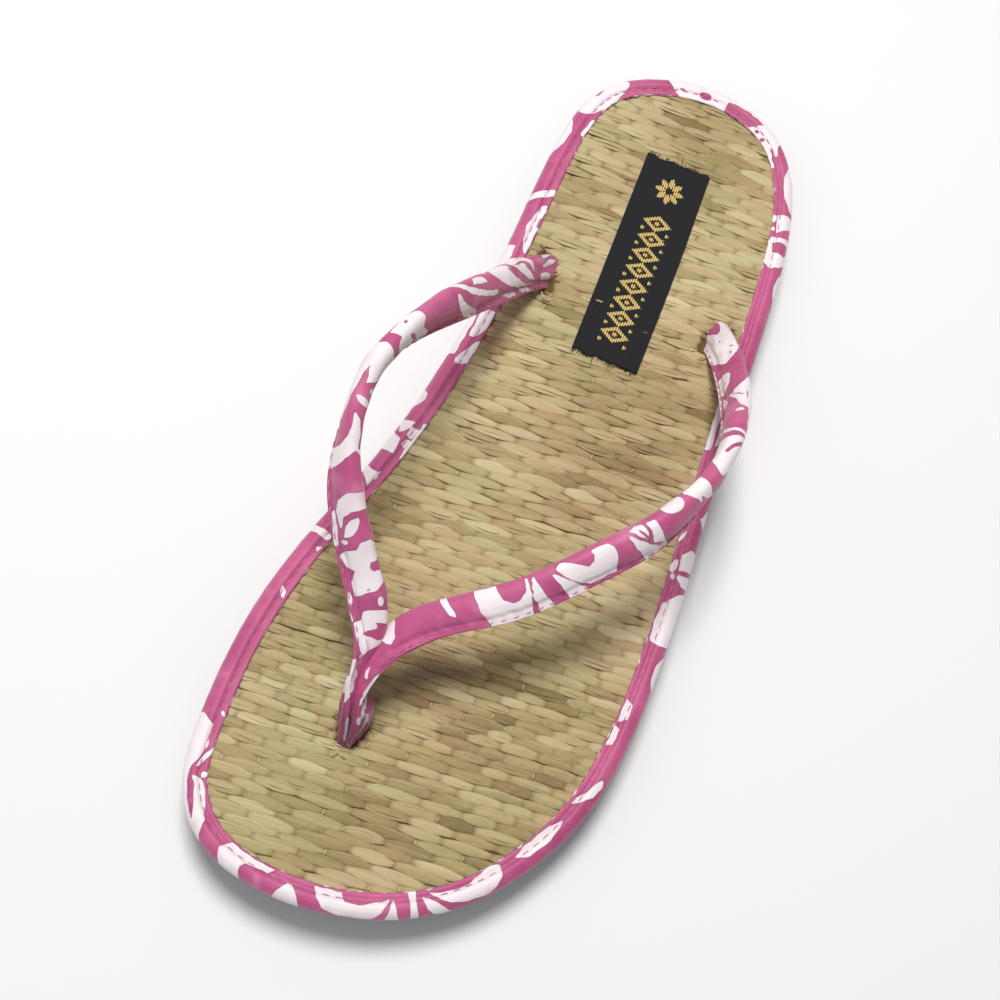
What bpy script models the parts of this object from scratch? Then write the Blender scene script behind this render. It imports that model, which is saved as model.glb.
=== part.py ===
"""Thong sandal with a rush mat footbed, left shoe, as six separate solids.

World frame: +X runs to the toe, +Y to the little-toe side, +Z up, and the floor is Z = 0.
All sizes below are millimetres and are turned into metres when a mesh is written.
"""
import math

import bmesh
import bpy
import numpy as np

MM = 0.001

# Base colours, linear.
PRINTED_CLOTH = (0.55, 0.10, 0.28)
DRY_RUSH = (0.46, 0.36, 0.16)
PALE_FOAM = (0.75, 0.72, 0.66)
BLACK = (0.02, 0.02, 0.025)

# Length and outline of the footbed, measured over the rounded edge binding.
HALF_LENGTH = 120.3
HEEL_TIP_Y = 3.0
TOE_TIP_Y = -14.4
OUTLINE_COLUMNS = ("along", "medial", "lateral")
OUTLINE = (
    (-115.5, -15.7, 20.7),
    (-106.0, -27.3, 29.2),
    (-90.0, -31.9, 35.0),
    (-68.0, -32.3, 38.2),
    (-44.0, -31.9, 40.2),
    (-20.0, -32.8, 42.4),
    (0.0, -34.9, 44.5),
    (20.0, -38.6, 46.6),
    (40.0, -43.6, 47.7),
    (60.0, -47.2, 47.3),
    (76.0, -47.9, 44.3),
    (91.0, -46.9, 37.4),
    (105.0, -44.0, 26.2),
    (115.0, -35.8, 10.6),
)
OUTLINE_STEPS = 88

# Heights of the layers, measured at the ball of the foot.
MAT_TOP = 15.6
MAT_THICKNESS = 1.8
INSOLE_THICKNESS = 2.1
SOLE_DROP = 5.5
GAP = 0.3

# Mat and insole edges, inset from the footbed's edge, and their worn and cut corners.
MAT_INSET = 1.5
MAT_UNDERCUT = 0.2
MAT_SHOULDERS = ((0.0, -1.1), (1.1, -0.25), (2.2, 0.0))
INSOLE_INSET = 1.3
INSOLE_CHAMFER = 0.75

# Lengthwise profile: toe spring, heel lift, arch hollow and the roll at the heel's end.
TOE_SPRING = 3.0
TOE_SPRING_START = 82.0
HEEL_LIFT = 0.9
HEEL_LIFT_START = -15.0
HEEL_LIFT_END = -85.0
ARCH_HOLLOW = 1.2
ARCH_FROM = -36.0
ARCH_TO = 32.0
HEEL_ROLL = 0.8
HEEL_ROLL_START = -107.0

# Outsole wall: inset under the binding, more at the waist on the big-toe side.
WALL_INSET = 0.7
WAIST_INSET = 2.4
WAIST_SHARE_FLOOR = 1.0
WAIST_SHARE_MIDDLE = 0.7
WAIST_SHARE_TOP = 0.3
WAIST_CENTRE = -2.0
WAIST_REACH = 48.0
SOLE_EDGE_BREAK = 0.6

# Edge binding: a strip of BINDING_WIDTH seen from above, folded round the footbed's edge.
BINDING_WIDTH = 6.0
# Its profile, outward from the inner edge and above the mat; LIP_ROW is the end of the
# lip folded under the insole.
BINDING_PROFILE = (
    (0.0, 0.3),
    (0.05, 0.95),
    (1.1, 1.0),
    (1.5, 0.72),
    (1.9, 1.1),
    (3.1, 1.4),
    (4.4, 1.0),
    (5.4, 0.0),
    (5.9, -1.2),
    (6.0, -2.6),
    (5.8, -3.9),
    (5.3, -4.9),
    (4.6, -5.2),
    (-1.0, -5.2),
    (-1.0, -4.5),
    (4.4, -4.5),
    (5.0, -3.7),
    (5.2, -2.4),
    (5.0, -1.1),
    (4.3, -0.2),
    (3.2, 0.3),
)
LIP_ROW = 13

# Straps. Half of a strap's section: distance towards its seam edge and half thickness. The
# padded body ends in a thin sewn flange, and the rows scale the section along the path.
SECTION_HALF = (
    (-4.5, 0.0),
    (-4.2, 1.2),
    (-3.3, 1.95),
    (-1.8, 2.3),
    (0.1, 2.25),
    (1.7, 1.75),
    (2.6, 0.8),
    (4.4, 0.62),
    (4.6, 0.0),
)
# Strap rows: x, y and z of the middle line (z above the mat), then the direction of the
# seam edge, then the scale of the width and of the thickness.
MIDDLE = slice(0, 3)
SEAM = slice(3, 6)
SCALE = slice(6, 8)
POST_ROWS = (
    (80.6, -13.1, -5.1, 0.98, 0.0, 0.2, 0.95, 0.85),
    (79.3, -13.3, 0.0, 0.95, 0.0, 0.3, 0.97, 0.88),
    (75.8, -14.9, 6.8, 0.86, 0.0, 0.5, 1.0, 1.0),
)
POST_SPREAD = 1.9
MEDIAL_ROWS = (
    (72.5, -17.8, 12.3, 0.80, -0.04, 0.6, 0.90, 0.86),
    (68.3, -18.5, 16.8, 0.78, -0.15, 0.58, 0.76, 0.74),
    (62.6, -18.8, 20.4, 0.70, -0.56, 0.36, 0.82, 0.88),
    (55.0, -22.9, 24.8, 0.60, -0.80, -0.05, 1.0, 1.0),
    (48.4, -28.6, 29.5, 0.52, -0.80, -0.28, 1.0, 1.0),
    (41.4, -34.6, 34.5, 0.40, -0.72, -0.55, 1.0, 1.0),
    (33.6, -39.3, 39.2, 0.28, -0.52, -0.80, 1.0, 1.0),
    (23.5, -42.2, 43.5, 0.15, -0.25, -0.95, 1.0, 1.0),
    (13.9, -42.5, 45.5, 0.05, -0.05, -1.0, 1.0, 1.0),
    (4.2, -40.4, 44.4, 0.05, 0.12, -0.97, 1.0, 1.0),
    (-6.5, -36.7, 39.5, 0.15, 0.32, -0.9, 1.0, 1.0),
    (-16.7, -32.7, 32.0, 0.30, 0.50, -0.78, 1.0, 1.0),
    (-26.2, -29.1, 23.0, 0.42, 0.58, -0.66, 1.0, 1.0),
    (-35.8, -25.8, 13.0, 0.60, 0.56, -0.50, 1.0, 1.0),
    (-44.2, -22.2, 4.6, 0.80, 0.50, -0.30, 1.0, 1.0),
    (-48.2, -19.6, 0.0, 0.93, 0.32, -0.15, 1.0, 0.95),
    (-51.0, -17.4, -5.1, 0.97, 0.22, -0.10, 1.0, 0.9),
)
LATERAL_ROWS = (
    (73.0, -15.7, 12.4, 0.82, 0.16, 0.55, 0.72, 0.74),
    (68.4, -16.4, 16.9, 0.78, 0.24, 0.58, 0.76, 0.66),
    (58.6, -12.3, 21.1, 0.70, 0.60, 0.30, 0.96, 0.95),
    (51.6, -5.5, 25.0, 0.72, 0.69, 0.0, 0.92, 1.0),
    (44.2, 4.3, 28.5, 0.68, 0.70, -0.2, 1.0, 1.0),
    (36.2, 12.6, 31.5, 0.62, 0.68, -0.38, 1.0, 1.0),
    (27.8, 19.8, 33.5, 0.56, 0.66, -0.5, 1.0, 1.0),
    (19.5, 26.6, 34.6, 0.48, 0.60, -0.65, 1.0, 1.0),
    (10.4, 32.0, 34.6, 0.38, 0.50, -0.80, 1.0, 1.0),
    (0.5, 35.6, 33.0, 0.25, 0.28, -0.92, 1.0, 1.0),
    (-10.4, 37.5, 29.3, 0.20, 0.0, -0.96, 1.0, 1.0),
    (-22.3, 37.3, 23.0, 0.36, -0.28, -0.87, 1.0, 1.0),
    (-33.8, 35.2, 14.8, 0.58, -0.45, -0.66, 1.0, 1.0),
    (-44.6, 31.6, 6.4, 0.80, -0.42, -0.42, 1.0, 1.0),
    (-51.6, 27.8, 0.0, 0.94, -0.28, -0.18, 1.0, 0.95),
    (-54.8, 25.4, -5.1, 0.97, -0.20, -0.10, 1.0, 0.9),
)
STRAP_STATIONS = 50
MAT_CLEARANCE = 0.55
INSOLE_CLEARANCE = 0.55
# Stations of a strap, from its post end, that pass through the layers: the slots follow them.
POST_STATIONS = 8
TAIL_STATIONS = 6
CUTTER_OVERRUN = 1.5

# Woven label on the heel of the mat.
LABEL_LENGTH = 60.8
LABEL_WIDTH = 18.0
LABEL_THICKNESS = 0.55
LABEL_CENTRE = (-62.6, 1.7)
LABEL_TURN = math.radians(3.4)
LABEL_ROWS = 8
LABEL_CORNER = 0.4


def pick(table, columns, *wanted):
    """The wanted columns of a table, by name, as an array."""
    return np.array(table)[:, [columns.index(name) for name in wanted]]


def smoothstep(value):
    """Ease a 0..1 ramp at both ends."""
    t = np.clip(value, 0.0, 1.0)
    return t * t * (3.0 - 2.0 * t)


def toe_spring(x):
    share = (x - TOE_SPRING_START) / (HALF_LENGTH - TOE_SPRING_START)
    return TOE_SPRING * np.clip(share, 0.0, 2.0) ** 2


def mat_top(x):
    """Height of the mat's surface at the length x."""
    heel = smoothstep((HEEL_LIFT_START - x) / (HEEL_LIFT_START - HEEL_LIFT_END))
    return MAT_TOP + HEEL_LIFT * heel + toe_spring(x)


def sole_bottom(x):
    """Height of the outsole's underside: flat heel and ball, hollow arch, sprung toe."""
    arch = np.sin(math.pi * np.clip((x - ARCH_FROM) / (ARCH_TO - ARCH_FROM), 0.0, 1.0)) ** 2
    roll = np.clip((HEEL_ROLL_START - x) / (HALF_LENGTH + HEEL_ROLL_START), 0.0, 2.0) ** 2
    return ARCH_HOLLOW * arch + HEEL_ROLL * roll + toe_spring(x)


def cubic(knots, values, at, closed=False):
    """Cubic spline through rows of values: natural ends, or a closed loop."""
    count = len(knots)
    step = np.diff(knots)
    system = np.zeros((count, count))
    right = np.zeros((count, values.shape[1]))
    slope = np.diff(values, axis=0) / step[:, None]
    for i in range(1, count - 1):
        system[i, i - 1:i + 2] = (step[i - 1], 2.0 * (step[i - 1] + step[i]), step[i])
        right[i] = 6.0 * (slope[i] - slope[i - 1])
    if closed:
        system[0, :2] = (2.0 * (step[-1] + step[0]), step[0])
        system[0, -2] = step[-1]
        right[0] = 6.0 * (slope[0] - slope[-1])
        system[-1, 0] = 1.0
        system[-1, -1] = -1.0
    else:
        system[0, 0] = 1.0
        system[-1, -1] = 1.0
    bend = np.linalg.solve(system, right)
    k = np.clip(np.searchsorted(knots, at, side="right") - 1, 0, count - 2)
    h = step[k][:, None]
    a = (knots[k + 1] - at)[:, None] / h
    b = 1.0 - a
    line = a * values[k] + b * values[k + 1]
    return line + ((a ** 3 - a) * bend[k] + (b ** 3 - b) * bend[k + 1]) * h ** 2 / 6.0


def chord_knots(points):
    """Distance walked along a row of points."""
    lengths = np.linalg.norm(np.diff(points, axis=0), axis=1)
    return np.concatenate(([0.0], np.cumsum(lengths)))


def even_samples(knots, values, start, end, count, closed=False):
    """Points of the spline between two knots, evenly spaced along its length."""
    fine = np.linspace(start, end, 1200)
    path = cubic(knots, values, fine, closed)
    walked = chord_knots(path)
    return np.interp(np.linspace(0.0, walked[-1], count), walked, fine)


def footbed_edge():
    """Closed outline over the binding, from the heel tip round the big toe and back.

    The medial half and the lateral half hold the same number of points, so that a point
    and its partner across the shoe stand at about the same length.
    """
    medial = pick(OUTLINE, OUTLINE_COLUMNS, "along", "medial")
    lateral = pick(OUTLINE, OUTLINE_COLUMNS, "along", "lateral")[::-1]
    heel = np.array([[-HALF_LENGTH, HEEL_TIP_Y]])
    toe = np.array([[HALF_LENGTH, TOE_TIP_Y]])
    points = np.concatenate((heel, medial, toe, lateral, heel))
    knots = chord_knots(points)
    toe_knot = knots[len(OUTLINE) + 1]
    half = OUTLINE_STEPS // 2
    go = even_samples(knots, points, 0.0, toe_knot, half + 1, True)[:-1]
    back = even_samples(knots, points, toe_knot, knots[-1], half + 1, True)[:-1]
    return cubic(knots, points, np.concatenate((go, back)), True)


def outward(loop):
    """Unit normals of a closed outline that runs anticlockwise seen from above."""
    run = np.roll(loop, -1, axis=0) - np.roll(loop, 1, axis=0)
    run /= np.linalg.norm(run, axis=1)[:, None]
    return np.column_stack((run[:, 1], -run[:, 0]))


EDGE = footbed_edge()
EDGE_NORMAL = outward(EDGE)


def inset_loop(distance):
    """The footbed's edge moved inward by one distance, or by one per point."""
    return EDGE - EDGE_NORMAL * np.broadcast_to(distance, len(EDGE))[:, None]


def ring(distance, height):
    """Loop of 3-D points: inset by distance, at height(x)."""
    flat = inset_loop(distance)
    return np.column_stack((flat, height(flat[:, 0])))


def above_mat(offset):
    return lambda x: mat_top(x) + offset


def new_object(name, mesh_maker, colour=None, roughness=0.8):
    """Make an object from a bmesh filled in millimetres by mesh_maker."""
    bm = bmesh.new()
    mesh_maker(bm)
    bmesh.ops.recalc_face_normals(bm, faces=bm.faces)
    bmesh.ops.scale(bm, vec=(MM, MM, MM), verts=bm.verts)
    mesh = bpy.data.meshes.new(name)
    bm.to_mesh(mesh)
    bm.free()
    mesh.shade_smooth()
    mesh.set_sharp_from_angle(angle=math.radians(40.0))
    made = bpy.data.objects.new(name, mesh)
    bpy.context.collection.objects.link(made)
    if colour:
        made.data.materials.append(plain_material(name, colour, roughness))
    return made


def plain_material(name, colour, roughness):
    material = bpy.data.materials.new(name)
    material.use_nodes = True
    shader = material.node_tree.nodes["Principled BSDF"]
    shader.inputs["Base Color"].default_value = (*colour, 1.0)
    shader.inputs["Roughness"].default_value = roughness
    shader.inputs["Metallic"].default_value = 0.0
    return material


def add_ring(bm, points):
    return [bm.verts.new(p) for p in points]


def bridge(bm, first, second):
    """Quads between two loops of equal count, point to point."""
    count = len(first)
    for i in range(count):
        j = (i + 1) % count
        bm.faces.new((first[i], first[j], second[j], second[i]))


def cap_across(bm, verts):
    """Fill a footbed loop with strips that run across the shoe."""
    count = len(verts)
    half = count // 2
    for i in range(half):
        four = (verts[i], verts[i + 1], verts[(count - i - 1) % count], verts[(count - i) % count])
        corners = list(dict.fromkeys(four))
        bm.faces.new(corners)


def stack(bm, rings):
    """Solid between the first and the last ring, with every ring as a step of its wall."""
    loops = [add_ring(bm, points) for points in rings]
    for low, high in zip(loops, loops[1:]):
        bridge(bm, low, high)
    cap_across(bm, loops[0])
    cap_across(bm, loops[-1])


def build_outsole():
    """Cut sole: flat-sided, hollow under the arch and drawn in at the waist."""
    def wall(depth):
        """Inset of the wall, with this share of the waist cut at the big-toe side."""
        reach = np.clip((EDGE[:, 0] - WAIST_CENTRE) / WAIST_REACH, -1.0, 1.0)
        waist = np.cos(reach * math.pi / 2.0) ** 2 * (EDGE[:, 1] < 0.0)
        return WALL_INSET + depth * WAIST_INSET * waist

    def top(x):
        return mat_top(x) - SOLE_DROP

    def half_way(x):
        return 0.5 * (sole_bottom(x) + top(x))

    def shape(bm):
        stack(bm, (
            ring(wall(WAIST_SHARE_FLOOR) + SOLE_EDGE_BREAK, sole_bottom),
            ring(wall(WAIST_SHARE_FLOOR), lambda x: sole_bottom(x) + SOLE_EDGE_BREAK),
            ring(wall(WAIST_SHARE_MIDDLE), half_way),
            ring(wall(WAIST_SHARE_TOP), lambda x: top(x) - SOLE_EDGE_BREAK),
            ring(wall(WAIST_SHARE_TOP) + 0.5 * SOLE_EDGE_BREAK, top),
        ))

    return new_object("outsole", shape, BLACK, 0.85)


def build_insole():
    """Foam board: full width under the mat, and a thicker middle inside the binding's lip."""
    lip_edge = BINDING_WIDTH - BINDING_PROFILE[LIP_ROW][0] + GAP
    upper = -MAT_THICKNESS - GAP
    lower = upper - INSOLE_THICKNESS

    def shape(bm):
        stack(bm, (
            ring(lip_edge, above_mat(-SOLE_DROP + GAP)),
            ring(lip_edge, above_mat(lower)),
            ring(INSOLE_INSET + INSOLE_CHAMFER, above_mat(lower)),
            ring(INSOLE_INSET, above_mat(lower + INSOLE_CHAMFER)),
            ring(INSOLE_INSET, above_mat(upper)),
        ))

    return new_object("insole", shape, PALE_FOAM, 0.8)


def build_mat():
    """Rush mat: a thin plate with a pressed-down edge under the binding."""
    def shape(bm):
        rings = [ring(MAT_INSET + MAT_UNDERCUT, above_mat(-MAT_THICKNESS))]
        for inward, height in MAT_SHOULDERS:
            rings.append(ring(MAT_INSET + inward, above_mat(height)))
        stack(bm, rings)

    return new_object("rush_mat", shape, DRY_RUSH, 0.75)


def build_binding():
    """The folded strip: its profile carried round the whole edge."""
    def shape(bm):
        loops = []
        for out, rise in BINDING_PROFILE:
            loops.append(add_ring(bm, ring(BINDING_WIDTH - out, above_mat(rise))))
        for first, second in zip(loops, loops[1:] + loops[:1]):
            bridge(bm, first, second)

    return new_object("edge_binding", shape, PRINTED_CLOTH, 0.45)


def strap_path(arm_rows, side):
    """Stations of one strap: middle points, seam directions and scales, floor up."""
    rows = np.array(POST_ROWS + arm_rows)
    rows[:len(POST_ROWS), 1] += side * POST_SPREAD
    rows[:, 2] += mat_top(rows[:, 0])
    knots = chord_knots(rows[:, MIDDLE])
    at = even_samples(knots, rows, 0.0, knots[-1], STRAP_STATIONS)
    path = cubic(knots, rows, at)
    run = np.gradient(path[:, MIDDLE], axis=0)
    run /= np.linalg.norm(run, axis=1)[:, None]
    seam = path[:, SEAM]
    seam = seam - run * np.sum(seam * run, axis=1)[:, None]
    seam /= np.linalg.norm(seam, axis=1)[:, None]
    return path[:, MIDDLE], seam, np.cross(run, seam), path[:, SCALE]


def strap_section(clearance):
    """Closed outline of the section, grown by a clearance for the slots it passes."""
    half = np.array(SECTION_HALF)
    whole = np.concatenate((half, half[-2:0:-1] * (1.0, -1.0)))
    if clearance == 0.0:
        return whole
    middle = np.array((half[0, 0] + half[-1, 0], 0.0)) / 2.0
    spread = whole - middle
    reach = np.array((half[-1, 0] - middle[0], half[:, 1].max()))
    return middle + spread * (1.0 + clearance / reach) + np.sign(spread) * (0.0, clearance / 2.0)


def sweep_strap(bm, arm_rows, side, clearance=0.0, stations=slice(None), overrun=0.0):
    """One strap as a swept section. Its ends under the mat are level, and a cutter runs on."""
    middle, seam, normal, scale = (part[stations] for part in strap_path(arm_rows, side))
    section = strap_section(clearance)
    rings = []
    for i in range(len(middle)):
        across = section[:, 0:1] * scale[i, 0] * seam[i]
        through = section[:, 1:2] * scale[i, 1] * normal[i]
        rings.append(middle[i] + across + through)
    for end, place in ((0, 0), (-1, len(rings))):
        if middle[end, 2] < mat_top(middle[end, 0]):
            rings[end][:, 2] = middle[end, 2]
            if overrun:
                rings.insert(place, rings[end] - (0.0, 0.0, overrun))
    loops = [add_ring(bm, points) for points in rings]
    for first, second in zip(loops, loops[1:]):
        bridge(bm, first, second)
    bm.faces.new(loops[0][::-1])
    bm.faces.new(loops[-1])


def boolean(target, cutter, operation):
    """Apply one exact Boolean and remove the cutter."""
    modifier = target.modifiers.new(operation.lower(), "BOOLEAN")
    modifier.operation = operation
    modifier.solver = "EXACT"
    modifier.object = cutter
    graph = bpy.context.evaluated_depsgraph_get()
    result = bpy.data.meshes.new_from_object(target.evaluated_get(graph))
    old = target.data
    target.modifiers.clear()
    target.data = result
    bpy.data.meshes.remove(old)
    bpy.data.objects.remove(cutter)


def build_straps():
    """Both straps, fused along the toe post into one solid."""
    def lateral(bm):
        sweep_strap(bm, LATERAL_ROWS, 1.0)

    def medial(bm):
        sweep_strap(bm, MEDIAL_ROWS, -1.0)

    straps = new_object("thong_strap", lateral, PRINTED_CLOTH, 0.45)
    boolean(straps, new_object("medial_strap", medial), "UNION")
    return straps


def cut_slots(target, clearance):
    """Cut the toe hole and the two slits by the straps' own ends, grown by a clearance."""
    post_end = slice(0, POST_STATIONS)
    tail_end = slice(STRAP_STATIONS - TAIL_STATIONS, STRAP_STATIONS)
    for rows, side in ((LATERAL_ROWS, 1.0), (MEDIAL_ROWS, -1.0)):
        for stations in (post_end, tail_end):
            cutter = new_object(
                "slot_cutter",
                lambda bm: sweep_strap(bm, rows, side, clearance, stations, CUTTER_OVERRUN),
            )
            boolean(target, cutter, "DIFFERENCE")


def build_label():
    """A thin woven plate that follows the mat under it."""
    along = np.linspace(-0.5, 0.5, LABEL_ROWS) * LABEL_LENGTH
    corner = (
        (-0.5 * LABEL_WIDTH, 0.0),
        (0.5 * LABEL_WIDTH, 0.0),
        (0.5 * LABEL_WIDTH, 0.6 * LABEL_THICKNESS),
        (0.5 * LABEL_WIDTH - LABEL_CORNER, LABEL_THICKNESS),
        (-0.5 * LABEL_WIDTH + LABEL_CORNER, LABEL_THICKNESS),
        (-0.5 * LABEL_WIDTH, 0.6 * LABEL_THICKNESS),
    )

    def shape(bm):
        loops = []
        for a in along:
            loop = []
            for across, rise in corner:
                x = LABEL_CENTRE[0] + a * math.cos(LABEL_TURN) - across * math.sin(LABEL_TURN)
                y = LABEL_CENTRE[1] + a * math.sin(LABEL_TURN) + across * math.cos(LABEL_TURN)
                loop.append(bm.verts.new((x, y, mat_top(x) + GAP + rise)))
            loops.append(loop)
        for first, second in zip(loops, loops[1:]):
            bridge(bm, first, second)
        bm.faces.new(loops[0][::-1])
        bm.faces.new(loops[-1])

    return new_object("heel_label", shape, BLACK, 0.8)


def main():
    for old in list(bpy.data.objects):
        bpy.data.objects.remove(old)
    build_outsole()
    insole = build_insole()
    mat = build_mat()
    build_binding()
    build_straps()
    cut_slots(insole, INSOLE_CLEARANCE)
    cut_slots(mat, MAT_CLEARANCE)
    build_label()


main()
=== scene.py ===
"""Visual model of a thong sandal, left shoe, built around its CAD frame.

Frame: +X runs to the toe, +Y to the little-toe side, +Z up. Sizes are millimetres.
"""
import math

import bmesh
import bpy
import numpy as np
from mathutils import Matrix, Vector


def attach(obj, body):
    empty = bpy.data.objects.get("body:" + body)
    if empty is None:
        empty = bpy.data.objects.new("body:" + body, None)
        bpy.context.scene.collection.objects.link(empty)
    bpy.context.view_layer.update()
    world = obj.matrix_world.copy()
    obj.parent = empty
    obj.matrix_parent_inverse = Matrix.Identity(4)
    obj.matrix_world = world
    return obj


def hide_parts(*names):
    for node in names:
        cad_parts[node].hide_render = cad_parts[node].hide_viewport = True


bl_info = {
    "name": "Thong sandal visual",
    "version": (1, 0, 0),
    "blender": (4, 5, 0),
    "location": "View3D > Sidebar > Sandal",
    "description": "Builds the visual model of a thong sandal around its CAD frame",
    "category": "Add Mesh",
}

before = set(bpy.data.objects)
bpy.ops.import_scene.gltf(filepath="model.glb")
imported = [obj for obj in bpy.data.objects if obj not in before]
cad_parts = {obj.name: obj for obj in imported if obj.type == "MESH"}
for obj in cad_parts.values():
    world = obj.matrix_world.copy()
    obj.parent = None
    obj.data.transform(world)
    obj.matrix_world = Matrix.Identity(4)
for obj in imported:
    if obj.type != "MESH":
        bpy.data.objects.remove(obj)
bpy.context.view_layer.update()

MM = 0.001
TO_MM = 1.0 / MM

# ---------------------------------------------------------------- the shoe's own sizes

HALF_LENGTH = 120.3
HEEL_TIP = (-HALF_LENGTH, 3.0)
TOE_TIP = (HALF_LENGTH, -14.4)
# Footbed outline over the binding: along, medial side, lateral side.
OUTLINE = np.array((
    (-115.5, -15.7, 20.7),
    (-106.0, -27.3, 29.2),
    (-90.0, -31.9, 35.0),
    (-68.0, -32.3, 38.2),
    (-44.0, -31.9, 40.2),
    (-20.0, -32.8, 42.4),
    (0.0, -34.9, 44.5),
    (20.0, -38.6, 46.6),
    (40.0, -43.6, 47.7),
    (60.0, -47.2, 47.3),
    (76.0, -47.9, 44.3),
    (91.0, -46.9, 37.4),
    (105.0, -44.0, 26.2),
    (115.0, -35.8, 10.6),
))
MAT_TOP = 15.6
HEEL_LIFT = 0.9
HEEL_LIFT_START = -15.0
HEEL_LIFT_END = -85.0
TOE_SPRING = 3.0
TOE_SPRING_START = 82.0
ARCH_HOLLOW = 1.2
ARCH_FROM = -36.0
ARCH_TO = 32.0
HEEL_ROLL = 0.8
HEEL_ROLL_START = -107.0
SOLE_DROP = 5.5
WALL_INSET = 0.7
WAIST_INSET = 2.4
WAIST_CENTRE = -2.0
WAIST_REACH = 48.0

# The pale board under the mat and the mat's own ground, as depths below the mat's surface.
BOARD_INSET = 1.6
BOARD_TOP = 2.1
BOARD_BOTTOM = 4.2
MAT_INSET = 3.2
GROUND_TOP = 0.38
GROUND_BOTTOM = 1.7

# Folded edge strip, outward from its inner edge and above the mat, closed under the board.
BINDING_WIDTH = 6.0
BINDING_PROFILE = np.array((
    (0.0, 0.3), (0.05, 0.95), (1.1, 1.0), (1.5, 0.72), (1.9, 1.1), (3.1, 1.4), (4.4, 1.0),
    (5.4, 0.0), (5.9, -1.2), (6.0, -2.6), (5.8, -3.9), (5.3, -4.9), (4.6, -5.2), (-1.0, -5.2),
    (-1.0, -4.5), (4.4, -4.5), (5.0, -3.7), (5.2, -2.4), (5.0, -1.1), (4.3, -0.2), (3.2, 0.3),
))
# Length of the strip's middle line once round, in the print's own measure.
BINDING_ROUND = 578.2
# How finely the smooth courses of the edge and of a strap are worked out.
EDGE_STATIONS = 2400
STRAP_STATIONS = 900

# Half of a strap's section, from the rounded edge to the sewn flange.
SECTION_HALF = np.array((
    (-4.5, 0.0), (-4.2, 1.2), (-3.3, 1.95), (-1.8, 2.3), (0.1, 2.25), (1.7, 1.75),
    (2.6, 0.8), (4.4, 0.62), (4.6, 0.0),
))
# Stations down a strap: along, across, height over the mat, the direction of its seam (three
# numbers), then the section's scale in width and in thickness.
POST_ROWS = (
    (80.6, -13.7, -5.1, 0.98, 0.0, 0.2, 0.92, 0.60),
    (79.3, -13.9, 0.0, 0.95, 0.0, 0.3, 0.95, 0.70),
    (75.8, -14.9, 6.8, 0.86, 0.0, 0.5, 1.0, 0.96),
)
# How far each strap's half of the post stands off the post's middle.
POST_SPREADS = (1.25, 1.42, 1.66)
# How far the little-toe strap's flange is turned outwards on the post.
POST_TURNS = (0.0, 0.05, 0.14)
MEDIAL_ROWS = (
    (72.5, -17.8, 12.3, 0.80, -0.04, 0.6, 0.90, 0.86),
    (68.3, -18.5, 16.8, 0.78, -0.15, 0.58, 0.76, 0.74),
    (62.6, -18.8, 20.4, 0.70, -0.56, 0.36, 0.82, 0.88),
    (55.0, -22.9, 24.8, 0.60, -0.80, -0.05, 1.0, 1.0),
    (48.4, -28.6, 29.5, 0.52, -0.80, -0.28, 1.0, 1.0),
    (41.4, -34.6, 34.5, 0.40, -0.72, -0.55, 1.0, 1.0),
    (33.6, -39.3, 39.2, 0.28, -0.52, -0.80, 1.0, 1.0),
    (23.5, -42.2, 43.5, 0.15, -0.25, -0.95, 1.0, 1.0),
    (13.9, -42.5, 45.5, 0.05, -0.05, -1.0, 1.0, 1.0),
    (4.2, -40.4, 44.4, 0.05, 0.12, -0.97, 1.0, 1.0),
    (-6.5, -36.7, 39.5, 0.15, 0.32, -0.9, 1.0, 1.0),
    (-16.7, -32.7, 32.0, 0.30, 0.50, -0.78, 1.0, 1.0),
    (-26.2, -29.1, 23.0, 0.42, 0.58, -0.66, 1.0, 1.0),
    (-35.8, -25.8, 13.0, 0.60, 0.56, -0.50, 1.0, 1.0),
    (-44.2, -22.2, 4.6, 0.80, 0.50, -0.30, 1.0, 1.0),
    (-48.2, -19.6, 0.0, 0.93, 0.32, -0.15, 1.0, 0.95),
    (-51.0, -17.4, -5.1, 0.97, 0.22, -0.10, 1.0, 0.9),
)
LATERAL_ROWS = (
    (72.9, -15.7, 12.4, 0.76, 0.50, 0.42, 0.78, 0.66),
    (67.9, -15.5, 16.9, 0.72, 0.46, 0.52, 0.76, 0.72),
    (58.6, -12.3, 21.1, 0.70, 0.60, 0.30, 0.96, 0.95),
    (51.6, -5.5, 25.0, 0.72, 0.69, 0.0, 0.92, 1.0),
    (44.2, 4.3, 28.5, 0.68, 0.70, -0.2, 1.0, 1.0),
    (36.2, 12.6, 31.5, 0.62, 0.68, -0.38, 1.0, 1.0),
    (27.8, 19.8, 33.5, 0.56, 0.66, -0.5, 1.0, 1.0),
    (19.5, 26.6, 34.6, 0.48, 0.60, -0.65, 1.0, 1.0),
    (10.4, 32.0, 34.6, 0.38, 0.50, -0.80, 1.0, 1.0),
    (0.5, 35.6, 33.0, 0.25, 0.28, -0.92, 1.0, 1.0),
    (-10.4, 37.5, 29.3, 0.20, 0.0, -0.96, 1.0, 1.0),
    (-22.3, 37.3, 23.0, 0.36, -0.28, -0.87, 1.0, 1.0),
    (-33.8, 35.2, 14.8, 0.58, -0.45, -0.66, 1.0, 1.0),
    (-44.6, 31.6, 6.4, 0.80, -0.42, -0.42, 1.0, 1.0),
    (-51.6, 27.8, 0.0, 0.94, -0.28, -0.18, 1.0, 0.95),
    (-54.8, 25.4, -5.1, 0.97, -0.20, -0.10, 1.0, 0.9),
)

LABEL_CENTRE = (-62.6, 1.7)
LABEL_LIFT = 0.72
LABEL_THICKNESS = 0.35
THREADS_PER_END = 44
LONG_THREAD = 3.2
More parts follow.
